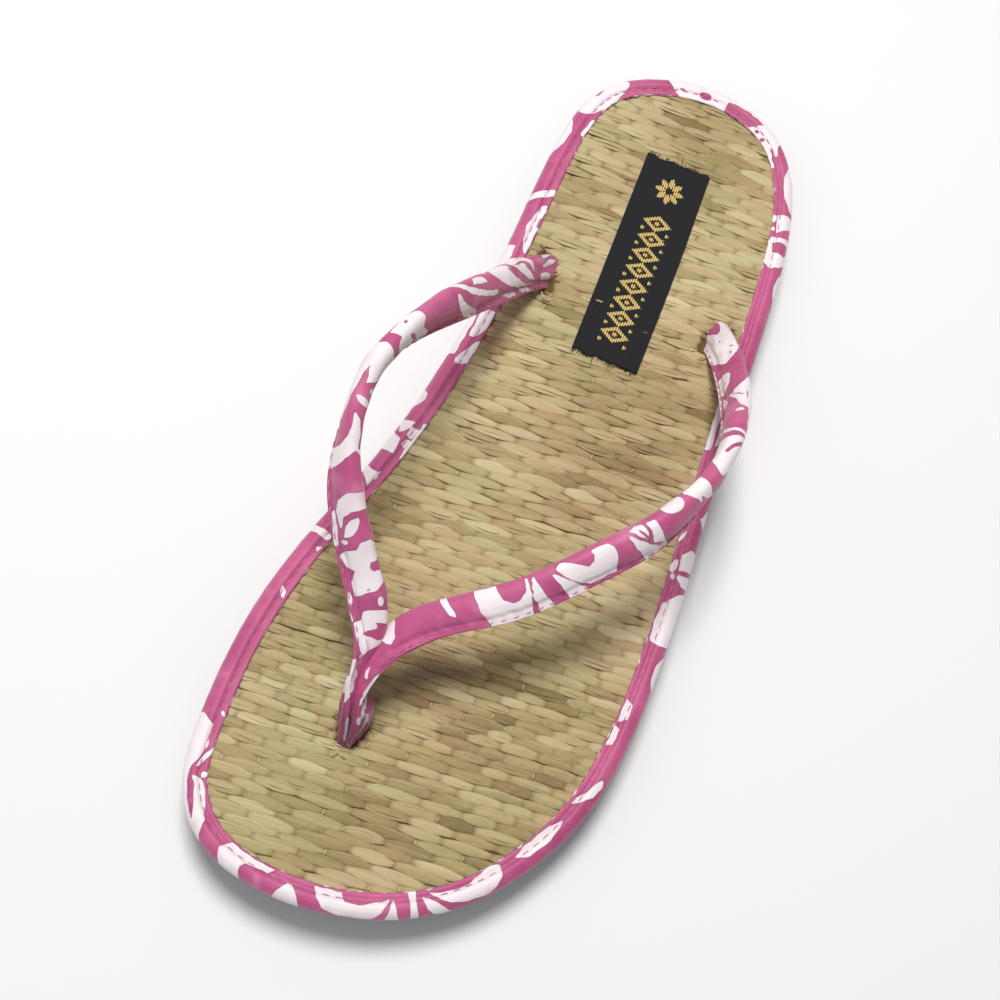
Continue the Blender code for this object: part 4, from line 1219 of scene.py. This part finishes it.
def strap_relief(s, t, seed, creases):
    """Puckers along the seam, soft crosswise ripples and the strap's own creases."""
    back = STRAP_GIRTH - t
    flange = np.minimum(t, back)
    sewn = -0.13 * bell(flange - STRAP_STITCH_LINE, 0.45)
    sewn *= 0.5 + dips(s, size("strap_pitch"), 0.55)
    sewn -= 0.3 * bell(flange, 0.28)
    # Down the post each flange shows its doubled layers as grooves.
    layers = bell(flange - 1.15, 0.20) + bell(flange - 3.1, 0.28)
    sewn -= 0.36 * layers * smoothstep((27.0 - s) / 6.0)
    pucker = wander(s + 0.6 * flange, 0.2 * flange, 3.4, seed)
    pucker *= 0.09 * bell(flange - 2.6, 1.5)
    ripples = 0.11 * wander(s, 0.35 * t, 7.5, seed + 1) * smoothstep((flange - 2.0) / 2.0)
    soft = 0.16 * wander(s, t, 30.0, seed + 2) + crease_field(s, t, creases)
    return sewn + pucker + ripples + soft * smoothstep(flange / 1.2)


def build_strap(name, strap, chart, creases, seed):
    """One padded strap with its half of the post: a tube of printed cloth, sewn along one edge."""
    length = strap[0][-1]

    def relief(s, t):
        return strap_relief(s, t, seed, creases)

    def place(u, v):
        # Rows stand closer together on the narrow sewn flange.
        s, t = u * length, STRAP_GIRTH * (v - 0.06 * np.sin(2.0 * math.pi * v))
        return on_strap(strap, s, t, relief(s, t)), np.column_stack((s, t))

    def facts(s, t):
        flange = np.minimum(t, STRAP_GIRTH - t)
        # Darker in patches along the seam, towards the tail's end and round the post.
        near_mat = smoothstep((s - length + 18.0) / 10.0)
        sewn = bell(flange - STRAP_STITCH_LINE, 0.5)
        soil = 0.22 * sewn + 0.28 * near_mat + 0.2 * smoothstep((22.0 - s) / 10.0)
        soil *= smoothstep(0.6 + 0.6 * wander(s, t, 18.0, seed + 5))
        # Painted shade: the toe post darkens towards its foot.
        soil += 0.55 * smoothstep((22.0 - s) / 12.0)
        crest_highlight = np.clip(relief(s, t) * 1.6 - 0.2, 0.0, 0.35)
        return {"print_depth": painted(chart, s, t), "soil": soil, "fold": crest_highlight}

    columns, rows = 400, 66
    mesh = close_mesh(grid_mesh(name, columns, rows, place, facts))
    made = add_piece(name, mesh, bpy.data.materials["printed_cotton"],
                     ("thong_strap",))
    return made


def stitch_row(points_at, start, end, pitch, length):
    """Middle lines of stitches: each rises out of the cloth and dips back into it."""
    count = int((end - start) / pitch)
    first = start + pitch * (np.arange(count) + 0.5)
    share = np.linspace(-0.5, 0.5, 7)
    s = first[:, None] + share[None, :] * length
    lift = 0.20 - 0.42 * np.abs(2.0 * share) ** 3
    flat = points_at(s.ravel(), np.tile(lift, count))
    return flat.reshape(count, len(share), 3)


def build_stitches():
    """Rows of pink stitches, one piece: twisted cotton thread, matt and a little fuzzy."""
    rows = [stitch_row(
        lambda s, lift: on_binding(s, np.full(s.shape, STITCH_LINE), lift - 0.2),
        0.0, BINDING_ROUND, size("binding_pitch"), BINDING_STITCH)]
    for strap in (MEDIAL, LATERAL):
        for t in (STRAP_STITCH_LINE, STRAP_GIRTH - STRAP_STITCH_LINE):
            rows.append(stitch_row(
                lambda s, lift: on_strap(strap, s, np.full(s.shape, t), lift - 0.1),
                SEAM_START, strap[0][-1] - SEAM_END, size("strap_pitch"), STRAP_STITCH))
    paths = np.concatenate(rows)
    rng = np.random.default_rng(31)
    width = THREAD_HALF * (1.0 - 0.35 * np.abs(np.linspace(-1.0, 1.0, paths.shape[1])) ** 4)
    mesh = threads_mesh("seam_stitches", paths, width, width,
                        rng.uniform(0.3, 0.75, (len(paths), 1)))
    thread = plant_strand("sewing_thread", linear("#A5507C"), tint("thread"), linear("#DDA9C2"),
                          roughness=0.6, streak=0.4)
    return add_piece("seam_stitches", mesh, thread)


def build_sole():
    """The black outsole, a little narrower at the waist."""
    limits, ends = side_limits(WALL_INSET)

    def waisted(x):
        low, high = limits(x)
        reach = np.clip((x - WAIST_CENTRE) / WAIST_REACH, -1.0, 1.0)
        return low + 0.6 * WAIST_INSET * np.cos(reach * math.pi / 2.0) ** 2, high

    mesh = slab_mesh("sole_foam", waisted, ends, sole_bottom,
                     lambda x: mat_top(x) - SOLE_DROP, columns=170, rows=26, bevel=0.6)
    skin = foam("black_sole_foam", tint("sole"), linear("#26262A"), grain_mm=0.7, roughness=0.7)
    return add_piece("sole_foam", mesh, skin, ("outsole",))


def build_insole():
    """The pale board between the outsole and the mat."""
    mesh = slab_mesh("insole_board", *side_limits(BOARD_INSET),
                     lambda x: mat_top(x) - BOARD_BOTTOM, lambda x: mat_top(x) - BOARD_TOP,
                     columns=120, rows=18, bevel=0.4)
    skin = foam("pale_board_foam", linear("#BDB7AA"), linear("#D9D4C9"), grain_mm=0.5,
                roughness=0.75)
    return add_piece("insole_board", mesh, skin, ("insole",))


# The rush: a pick's lean across the mat, the height of its crests over the mat's surface, the
# highest that the label leaves them and how deep they dive at an opening.
REED_LEAN = 0.135
CREST_RISE = 0.10
PRESSED_RISE = 0.12
OPENING_SINK = 0.9
STRAND_STATIONS = 140
# Half length and half width of the openings, along and across the strap's seam.
POST_OPENING = (5.0, 3.4)
TAIL_OPENING = (6.0, 2.9)
FRAYS_PER_OPENING = 28
# The warp cord's half width, and the share of its crossings that stay hidden.
WARP_HALF = 0.15
WARP_HIDDEN = 0.50
# Places where two picks stand apart: x on the middle line, y from and to, extra width.
MAT_GAPS = (
    (71.7, 0.0, 44.0, 0.6),
    (96.0, -30.0, -12.0, 0.35),
    (57.8, -43.0, -19.0, 0.5),
    (-33.3, 20.0, 39.0, 0.5),
    (36.0, -20.0, 12.0, 0.3),
    (14.0, 2.0, 30.0, 0.3),
    (-14.0, -30.0, -4.0, 0.3),
    (104.0, -10.0, 22.0, 0.35),
)

MAT_LIMITS, MAT_ENDS = side_limits(MAT_INSET)


def openings():
    """Where the post and both tails enter the mat: place, seam direction and half sizes."""
    found = []
    for _, table, _ in (MEDIAL, LATERAL):
        above = np.flatnonzero(table[:, 2] > mat_top(table[:, 0]) + 0.4)
        found.append([(table[i, :2], unit(table[i:i + 1, 3:5])[0]) for i in above[[0, -1]]])
    (post_a, tail_a), (post_b, tail_b) = found
    post = (0.5 * (post_a[0] + post_b[0]), post_a[1])
    return ((*post, *POST_OPENING), (*tail_a, *TAIL_OPENING), (*tail_b, *TAIL_OPENING))


OPENINGS = openings()


def opening_reach(x, y):
    """Distance from the nearest opening's middle, 1 at its rim."""
    reach = np.full(np.shape(x), math.inf)
    for middle, way, long, short in OPENINGS:
        along = (x - middle[0]) * way[0] + (y - middle[1]) * way[1]
        across = (y - middle[1]) * way[0] - (x - middle[0]) * way[1]
        reach = np.minimum(reach, np.hypot(along / long, across / short))
    return reach


def under_label(x, y):
    """Whether a spot of the mat lies under the heel label or its loose threads."""
    turn = bpy.context.scene.sandal_sizes.label_turn
    east, north = x - LABEL_CENTRE[0], y - LABEL_CENTRE[1]
    along = east * math.cos(turn) + north * math.sin(turn)
    across = north * math.cos(turn) - east * math.sin(turn)
    return ((np.abs(along) < 0.5 * size("label_length") + 2.0)
            & (np.abs(across) < 0.5 * size("label_width") + 0.6))


def pick_line(x0, y):
    """The middle of a pick across the mat: a slight lean, a slow waver and the open gaps."""
    lean = REED_LEAN * (0.6 + 0.4 * smoothstep((x0 + 110.0) / 60.0)
                        - 0.35 * smoothstep((x0 - 80.0) / 30.0))
    x = x0 - lean * y + 0.22 * wander(y, x0, 30.0, 42)
    for place, low, high, width in MAT_GAPS:
        inside = smoothstep((y - low) / 5.0) * smoothstep((high - y) / 5.0)
        off = x0 - place
        x = x + 0.5 * width * inside * np.sign(off) * np.exp(-np.abs(off) / 3.0)
    return x


def float_ends(k, low, high):
    """Where the floats of pick k meet under a warp thread: nearly even, never quite."""
    rng = np.random.default_rng(4000 + k)
    x = MAT_ENDS[0] + size("pick") * k
    reach = size("float_length")
    # Every other pick is shifted by half a float. Round the post the floats are shorter.
    y = (np.arange(-9, 10) + 0.5 * (k % 2)) * (reach - 3.6 * math.exp(-((x - 62.0) / 25.0) ** 2))
    # The warp threads run a little aslant, and more so towards the toe.
    y = y + 0.08 * x + 14.0 * (math.hypot(1.0, max(x - 72.0, 0.0) / 20.0) - 1.0)
    y = y + rng.normal(0.0, 0.9) + rng.uniform(-1.6, 1.6, len(y))
    return y[(y > low - 2.0 * reach) & (y < high + 2.0 * reach)]


def picks():
    """Each pick's number, its place on the middle line, its two ends and its floats' ends."""
    heel, toe = MAT_ENDS
    pick = size("pick")
    for k in range(int((toe - heel) / pick)):
        x0 = heel + pick * (k + 0.5)
        low, high = MAT_LIMITS(x0)
        yield k, x0, low, high, float_ends(k, low, high)


def reed_lines():
    """Picks of the mat: their strands' middle lines, broad sides, half sizes, tones, painted shade
    and hues.
    """
    heel, toe = MAT_ENDS
    rng = np.random.default_rng(41)
    share = np.linspace(0.0, 1.0, STRAND_STATIONS)
    strands = []
    for k, x0, low, high, meets in picks():
        y = low + (high - low) * share
        x_pick = pick_line(x0, y)
        cycle = np.interp(y, meets, np.arange(len(meets)))
        # Each float is a long lens: full in its middle, pinched where it dives.
        bulge = np.abs(np.sin(math.pi * cycle)) ** 1.2
        # Half widths in millimetres. Behind the toes the stems are finer and nearly parallel.
        fine = smoothstep((x0 - 26.0) / 20.0) * smoothstep((100.0 - x0) / 18.0)
        lens = (0.66 + 0.20 * fine + (0.52 - 0.32 * fine) * bulge) * rng.uniform(0.88, 1.12)
        cell = np.floor(cycle).astype(int)
        # Painted shade where each float dives under a warp thread.
        notch_shade = bell((cycle - np.round(cycle)) * size("float_length"), 0.7)
        pick_tone = rng.normal(0.0, 0.04)
        pick_rise = rng.normal(0.0, 0.03)

        def by_float(spread):
            return rng.normal(0.0, spread, len(meets))[cell]

        float_tone = by_float(0.11)
        float_hue = by_float(0.15)
        float_rise = by_float(0.06)
        float_roll = by_float(0.16)
        for j in (-1.0, 1.0):
            part = 0.40 + 0.12 * wander(y, 5.0 * k, 12.0, 43)
            part = part if j > 0 else 0.80 - part
            x = x_pick + j * part * lens
            rise = CREST_RISE + pick_rise + float_rise * bulge - size("reed_dip") * (1.0 - bulge)
            # The label presses the stems under it flat.
            rise = np.where(under_label(x, y), np.minimum(rise, PRESSED_RISE), rise)
            inside = (x > heel + 0.5) & (x < toe - 0.5)
            if inside.sum() < 6:
                continue
            # Round an opening the strands dive into it and are painted in shade there.
            rim = smoothstep((1.18 - opening_reach(x, y)) / 0.30)
            z = mat_top(x) + rise - OPENING_SINK * rim
            roll = float_roll * bulge + 0.14 * j
            # A slanting strand stops at the mat's own edge, under the strip.
            x = np.clip(x, heel + 0.4, toe - 0.4)
            # Painted shadow of the little-toe strap on the mat beside the toe post, with brown
            # staining in it.
            strap_shadow_and_stain = 0.42 * np.exp(-((x - 59.0) / 7.0) ** 2 - ((y + 5.0) / 9.0) ** 2)
            strands.append((
                np.column_stack((x, np.clip(y, *MAT_LIMITS(x)), z)),
                np.column_stack((np.sin(roll), 0.0 * y, np.cos(roll))),
                (1.31 - part) * lens,
                0.22 + 0.06 * bulge,
                0.5 + pick_tone + float_tone + by_float(0.05)
                + 0.09 * wander(y, k, 30.0, 45),
                np.maximum(np.maximum(0.4 * notch_shade, strap_shadow_and_stain), 0.85 * rim),
                0.5 + float_hue + 0.25 * wander(x, y, 60.0, 46),
            ))
    return [np.array(rows) for rows in zip(*strands)]


def build_mat():
    """The mat's ground, dark as the painted shade between the strands, and over it the rush strands
    in three pieces.
    """
    mesh = slab_mesh("mat_ground", MAT_LIMITS, MAT_ENDS,
                     lambda x: mat_top(x) - GROUND_BOTTOM, lambda x: mat_top(x) - GROUND_TOP,
                     columns=120, rows=40, bevel=0.2)
    shadow = plant_strand("rush_shadow", linear("#634C27"), linear("#80653A"), linear("#987E4E"),
                          roughness=0.8)
    ground = add_piece("mat_ground", mesh, shadow, ("rush_mat",))
    rush = dry_rush()
    thirds = zip(*(np.array_split(rows, 3) for rows in reed_lines()))
    for name, third in zip(("rush_heel", "rush_middle", "rush_toe"), thirds):
        paths, faces, widths, heights, tones, shade_and_stain, hues = third
        mesh = strands_mesh(name, paths, faces, widths, heights,
                            {"tone": tones, "sunk": shade_and_stain, "hue": hues}, sides=8)
        add_piece(name, mesh, rush)
    return ground


def build_ticks():
    """Pale warp threads: one short arch over each pick between two floats."""
    rng = np.random.default_rng(51)
    share = np.linspace(-1.0, 1.0, 7)
    paths = []
    for _, x0, low, high, meets in picks():
        y = meets[(meets > low + 0.6) & (meets < high - 0.6)]
        for here, x in zip(y, pick_line(x0, y)):
            first, last = MAT_LIMITS(np.clip(x, *MAT_ENDS))
            if rng.random() < WARP_HIDDEN or under_label(x, here) or not first < here < last:
                continue
            across = here + 0.15 * rng.normal() + share * rng.uniform(-0.15, 0.15)
            x = x + share * rng.uniform(0.5, 0.85)
            rise = 0.13 - 0.42 * np.abs(share) ** 2.5 + 0.04 * rng.normal()
            paths.append(np.column_stack((x, across, mat_top(x) + rise)))
    paths = np.array(paths)
    width = WARP_HALF * (1.0 - 0.3 * np.abs(share) ** 4)
    mesh = threads_mesh("warp_ticks", paths, width, width, rng.uniform(0.2, 0.95, (len(paths), 1)))
    cord = plant_strand("warp_cord", linear("#9A865A"), linear("#BEAE80"), linear("#D6CAA2"),
                        roughness=0.7)
    return add_piece("warp_ticks", mesh, cord)


def build_frays():
    """Short broken ends of rush round the three openings."""
    rng = np.random.default_rng(91)
    share = np.linspace(0.0, 1.0, 6)
    paths = []
    for middle, way, long, short in OPENINGS:
        side = np.array((-way[1], way[0]))
        for _ in range(FRAYS_PER_OPENING):
            turn = rng.uniform(0.0, 2.0 * math.pi)
            out = rng.uniform(1.0, 1.5)
            spot = middle + way * long * out * math.cos(turn) + side * short * out * math.sin(turn)
            lean = rng.uniform(0.0, math.pi) if rng.random() < 0.6 else 1.57 + 0.3 * rng.normal()
            length = rng.uniform(0.7, 2.8)
            x = spot[0] + (share - 0.5) * length * math.cos(lean)
            y = spot[1] + (share - 0.5) * length * math.sin(lean)
            curl = 0.25 * rng.random() * np.sin(math.pi * share) + 0.5 * rng.random() * share ** 3
            paths.append(np.column_stack((x, y, mat_top(x) + 0.30 + curl)))
    paths = np.array(paths)
    width = rng.uniform(0.08, 0.24, (len(paths), 1)) * (1.0 - 0.7 * np.abs(2.0 * share - 1.0) ** 3)
    tone = rng.uniform(0.0, 1.0, (len(paths), 1))
    mesh = threads_mesh("rush_frays", paths, width, 0.5 * width, tone, 0.35 * (tone < 0.3), 0.7)
    return add_piece("rush_frays", mesh, bpy.data.materials["dry_rush"])


def label_point(a, b, lift):
    """A point of the label at a along and b across, raised by lift."""
    turn = bpy.context.scene.sandal_sizes.label_turn
    c, d = math.cos(turn), math.sin(turn)
    x = LABEL_CENTRE[0] + a * c - b * d
    y = LABEL_CENTRE[1] + a * d + b * c
    return np.column_stack((x, y, mat_top(x) + lift))


def build_label_frays():
    """Loose threads at the label's two cut ends: one long thread each, and many short ones."""
    rng = np.random.default_rng(95)
    share = np.linspace(0.0, 1.0, 8)
    paths = []
    for end in (-1.0, 1.0):
        for i in range(THREADS_PER_END):
            b = rng.uniform(-0.49, 0.49) * size("label_width")
            length = rng.uniform(0.4, 1.3) if i else LONG_THREAD
            a = end * (0.5 * size("label_length") - 0.5 + (length + 0.4) * share)
            side = b + rng.normal(0.0, 0.35) * share ** 2 * (1.0 + 2.0 * (i == 0))
            lift = 0.98 + 0.25 * rng.random() * np.sin(math.pi * share) - 0.35 * share ** 2
            paths.append(label_point(a, side, lift))
    paths = np.array(paths)
    width = 0.09 * (1.0 - 0.4 * share ** 2)
    mesh = threads_mesh("label_frays", paths, width, width, rng.uniform(0.1, 0.9, (len(paths), 1)))
    thread = plant_strand("label_thread", linear("#0C0D0F"), linear("#17181B"), linear("#2C2D31"),
                          roughness=0.7)
    return add_piece("label_frays", mesh, thread)


def label_motif():
    """Ornament: a chain of hollow lozenges with beads along it, and a rosette."""
    rows = []
    for i in range(CHAIN_COUNT):
        a = CHAIN_START + CHAIN_STEP * i
        for paint, (half, wide) in ((WHITE, LOZENGE), (PINK, LOZENGE_HOLLOW)):
            rows.append((paint, "patch", ((a - half, 0.0), (a, wide), (a + half, 0.0), (a, -wide))))
        rows.append((WHITE, "oval", (a, 0.0, 1.0, 1.3, 0)))
        for side in (-1.0, 1.0):
            rows.append((WHITE, "oval", (a + 0.5 * CHAIN_STEP, side * BEADS_OUT, 0.9, 0.9, 0)))
    for i in range(ROSETTE_PETALS):
        turn = math.radians(360.0 * i / ROSETTE_PETALS)
        c, d = math.cos(turn), math.sin(turn)
        petal = tuple((ROSETTE_AT + out * c, out * d) for out in (ROSETTE_EYE, ROSETTE_REACH))
        rows.append((WHITE, "leaf", petal, 1.5))
    return tuple(rows)


def build_label():
    """The satin label, lying loosely on the picks, with its cut ends lifted a little."""
    length, width, pick = size("label_length"), size("label_width"), size("pick")

    def place(u, v):
        a = (u - 0.5) * length
        b = (v - 0.5) * width
        rough = 0.25 * wander(b, 0.0, 3.0, 61) * np.abs(2.0 * u - 1.0) ** 20
        bowed = b * (1.0 + 0.02 * np.cos(math.pi * (u - 0.5))) + 0.35 * np.sin(2.2 * u + 0.4)
        points = label_point(a + rough, bowed, LABEL_LIFT)
        x, y = points[:, 0], points[:, 1]
        ends_up = 0.35 * np.abs(2.0 * u - 1.0) ** 14 * (0.5 + 0.5 * wander(b, u, 9.0, 62))
        quilt = 0.07 * np.cos(2.0 * math.pi * (x + REED_LEAN * y) / pick)
        points[:, 2] += quilt + 0.12 * wander(x, y, 14.0, 63) + ends_up
        return points, np.column_stack((a, b))

    def facts(a, b):
        return {"motif_depth": painted(label_motif(), a, b, 0.0)}

    columns, rows = 230, 70
    mesh = grid_mesh("woven_label", columns, rows, place, facts)
    bm = opened(mesh)
    bmesh.ops.recalc_face_normals(bm, faces=bm.faces)
    bmesh.ops.solidify(bm, geom=bm.faces[:], thickness=LABEL_THICKNESS * MM)
    finished(bm, mesh)
    made = add_piece("woven_label", mesh, woven_label(), ("heel_label",))
    return made


# ---------------------------------------------------------------- the stage

# In metres and unit directions: where the camera stands, looks and has its top.
CAMERA_PLACE = (0.11849, -0.00797, 0.34524)
CAMERA_LOOK = (-0.30394, 0.00776, -0.95266)
CAMERA_UP = (-0.86238, -0.42720, 0.27167)
SENSOR_WIDTH = 36.0
FLOOR_HALF = 4.0


def set_up(name, data, place, turn):
    """Put a camera or a lamp in its place, turned by a quaternion."""
    made = bpy.data.objects.new(name, data)
    made.location = place
    made.rotation_mode = "QUATERNION"
    made.rotation_quaternion = turn
    bpy.context.scene.collection.objects.link(made)
    return made


def build_stage():
    """A sheet of paper to stand on, the camera, a pale room and two soft lights."""
    scene = bpy.context.scene
    sizes = scene.sandal_sizes
    bm = bmesh.new()
    bmesh.ops.create_grid(bm, x_segments=8, y_segments=8, size=FLOOR_HALF)
    mesh = bpy.data.meshes.new("studio_floor")
    bm.to_mesh(mesh)
    bm.free()
    floor = bpy.data.objects.new("studio_floor", mesh)
    mesh.materials.append(plain_floor())
    scene.collection.objects.link(floor)

    look = Vector(CAMERA_LOOK).normalized()
    up = Vector(CAMERA_UP)
    up = (up - look * up.dot(look)).normalized()
    right = look.cross(up)
    turn = Matrix((right, up, -look)).transposed()
    data = bpy.data.cameras.new("sandal_camera")
    data.lens = sizes.lens
    data.sensor_width = SENSOR_WIDTH
    data.clip_start = 0.01
    scene.camera = set_up("sandal_camera", data, CAMERA_PLACE, turn.to_quaternion())

    world = bpy.data.worlds.new("pale_room")
    world.use_nodes = True
    ground = world.node_tree.nodes["Background"]
    ground.inputs["Color"].default_value = linear("#F2F4F8")
    ground.inputs["Strength"].default_value = sizes.room_light
    scene.world = world
    # Name, place, diameter, power and colour.
    lights = (
        ("window_soft", (-0.26, -0.20, 1.05), 0.34, sizes.window_power, "#FFFDFA"),
        ("wide_fill", (0.6, -0.5, 1.1), 1.5, sizes.fill_power, "#F8FAFF"),
    )
    for name, place, across, power, colour in lights:
        data = bpy.data.lights.new(name, "AREA")
        data.shape = "DISK"
        data.size = across
        data.energy = power
        data.color = linear(colour)[:3]
        set_up(name, data, place, (-Vector(place)).to_track_quat("-Z", "Y"))
    scene.view_settings.view_transform = "Standard"


# ---------------------------------------------------------------- the add-on


def number_of(name, about, default, low, high, **kind):
    """A number property with its limits and its unit or subtype."""
    return bpy.props.FloatProperty(name=name, description=about, default=default, min=low,
                                   max=high, **kind)


def length_of(name, about, millimetres, low, high):
    """A length property in metres, given in millimetres."""
    return number_of(name, about, millimetres * MM, low * MM, high * MM, unit="LENGTH",
                     precision=5)


def colour_of(name, about, code):
    """A colour property, given as an sRGB hex code."""
    return bpy.props.FloatVectorProperty(
        name=name, description=about, default=linear(code), size=4, min=0.0, max=1.0,
        subtype="COLOR")


class SandalSizes(bpy.types.PropertyGroup):
    """Sizes and light powers that a user would change"""
    pick: length_of("Pick spacing", "Distance between two rows of rush", 2.2, 1.6, 3.4)
    float_length: length_of("Float length", "Length of rush between two warp threads",
                            11.8, 6.0, 20.0)
    reed_dip: length_of("Rush dip", "How deep the rush sinks at each warp thread",
                        0.3, 0.0, 0.5)
    binding_pitch: length_of("Edge stitch pitch", "Distance between two stitches round the edge",
                             3.2, 2.4, 6.0)
    strap_pitch: length_of("Strap stitch pitch", "Distance between two stitches along a strap",
                           2.75, 2.0, 6.0)
    label_length: length_of("Label length", "Length of the woven heel label", 60.8, 40.0, 64.0)
    label_width: length_of("Label width", "Width of the woven heel label", 18.0, 10.0, 22.0)
    label_turn: number_of("Label turn", "How far the label is turned on the mat",
                          math.radians(3.4), -0.2, 0.2, subtype="ANGLE")
    lens: number_of("Lens", "Focal length of the camera", 50.5, 20.0, 200.0, unit="CAMERA")
    window_power: number_of("Window light", "Power of the soft window light",
                            10.7, 0.0, 100.0, unit="POWER")
    fill_power: number_of("Fill light", "Power of the wide fill light",
                          2.95, 0.0, 100.0, unit="POWER")
    room_light: number_of("Room light", "Strength of the pale room around the shoe",
                          0.276, 0.0, 2.0, subtype="FACTOR")


class SandalColours(bpy.types.PropertyGroup):
    """Colours that a user would change"""
    print_deep: colour_of("Print, deep", "Deeper shade of the cloth's magenta", "#AD4476")
    print_pale: colour_of("Print, faded", "Faded shade of the cloth's magenta", "#C8608D")
    print_flower: colour_of("Flowers", "White of the printed flowers", "#F6EFF0")
    thread: colour_of("Thread", "Colour of the seams' thread", "#C4799F")
    rush_deep: colour_of("Rush, deep", "Darkest rush stems", "#7E6841")
    rush_middle: colour_of("Rush, middle", "Most of the rush stems", "#B4A17A")
    rush_pale: colour_of("Rush, pale", "Palest rush stems", "#CFC29F")
    label_ground: colour_of("Label ground", "Ground of the heel label", "#121316")
    label_gold: colour_of("Label thread", "Ornament thread of the heel label", "#DCC27A")
    sole: colour_of("Sole", "Foam of the outsole", "#101013")
    floor: colour_of("Floor", "Paper under the shoe", "#EEEEEE")


class SANDAL_OT_sole(bpy.types.Operator):
    """Build the cut foam outsole"""
    bl_idname = "sandal.sole"
    bl_label = "Outsole"
    bl_options = {"REGISTER", "UNDO"}

    def execute(self, context):
        build_sole()
        return {"FINISHED"}


class SANDAL_OT_board(bpy.types.Operator):
    """Build the pale foam board between the outsole and the mat"""
    bl_idname = "sandal.board"
    bl_label = "Board"
    bl_options = {"REGISTER", "UNDO"}

    def execute(self, context):
        build_insole()
        return {"FINISHED"}


class SANDAL_OT_mat(bpy.types.Operator):
    """Build the woven rush mat with its warp threads and frayed openings"""
    bl_idname = "sandal.mat"
    bl_label = "Rush mat"
    bl_options = {"REGISTER", "UNDO"}

    def execute(self, context):
        build_mat()
        build_ticks()
        build_frays()
        return {"FINISHED"}


class SANDAL_OT_binding(bpy.types.Operator):
    """Build the printed strip folded round the edge"""
    bl_idname = "sandal.binding"
    bl_label = "Edge strip"
    bl_options = {"REGISTER", "UNDO"}

    def execute(self, context):
        build_binding()
        return {"FINISHED"}


class SANDAL_OT_straps(bpy.types.Operator):
    """Build both printed straps with their halves of the toe post"""
    bl_idname = "sandal.straps"
    bl_label = "Straps"
    bl_options = {"REGISTER", "UNDO"}

    def execute(self, context):
        build_strap("strap_medial", MEDIAL, MEDIAL_PRINT, MEDIAL_CREASES, 71)
        build_strap("strap_lateral", LATERAL, LATERAL_PRINT, LATERAL_CREASES, 81)
        return {"FINISHED"}


class SANDAL_OT_stitches(bpy.types.Operator):
    """Build the stitches of the edge strip and the straps"""
    bl_idname = "sandal.stitches"
    bl_label = "Stitches"
    bl_options = {"REGISTER", "UNDO"}

    def execute(self, context):
        build_stitches()
        return {"FINISHED"}


class SANDAL_OT_label(bpy.types.Operator):
    """Build the woven heel label and its loose end threads"""
    bl_idname = "sandal.label"
    bl_label = "Heel label"
    bl_options = {"REGISTER", "UNDO"}

    def execute(self, context):
        build_label()
        build_label_frays()
        return {"FINISHED"}


class SANDAL_OT_stage(bpy.types.Operator):
    """Build the floor, the lights and the camera"""
    bl_idname = "sandal.stage"
    bl_label = "Stage"
    bl_options = {"REGISTER", "UNDO"}

    def execute(self, context):
        build_stage()
        return {"FINISHED"}


OPERATORS = (
    SANDAL_OT_sole, SANDAL_OT_board, SANDAL_OT_mat, SANDAL_OT_binding, SANDAL_OT_straps,
    SANDAL_OT_stitches, SANDAL_OT_label, SANDAL_OT_stage,
)


class SANDAL_PT_build(bpy.types.Panel):
    """The sandal's building steps, sizes and colours"""
    bl_idname = "SANDAL_PT_build"
    bl_label = "Thong sandal"
    bl_space_type = "VIEW_3D"
    bl_region_type = "UI"
    bl_category = "Sandal"

    def draw(self, context):
        steps = self.layout.column(align=True)
        for step in OPERATORS:
            steps.operator(step.bl_idname)
        for group in (context.scene.sandal_sizes, context.scene.sandal_colours):
            column = self.layout.column()
            for name in group.__annotations__:
                column.prop(group, name)


CLASSES = (SandalSizes, SandalColours, *OPERATORS, SANDAL_PT_build)


def register():
    """Add the panel, its steps and its settings to Blender."""
    for kind in CLASSES:
        bpy.utils.register_class(kind)
    bpy.types.Scene.sandal_sizes = bpy.props.PointerProperty(type=SandalSizes)
    bpy.types.Scene.sandal_colours = bpy.props.PointerProperty(type=SandalColours)


def unregister():
    """Take them out again."""
    del bpy.types.Scene.sandal_colours
    del bpy.types.Scene.sandal_sizes
    for kind in reversed(CLASSES):
        bpy.utils.unregister_class(kind)


def main():
    """Run every building step."""
    register()
    bpy.ops.sandal.sole()
    bpy.ops.sandal.board()
    bpy.ops.sandal.mat()
    bpy.ops.sandal.binding()
    bpy.ops.sandal.straps()
    bpy.ops.sandal.stitches()
    bpy.ops.sandal.label()
    bpy.ops.sandal.stage()


if __name__ == "__main__":
    main()
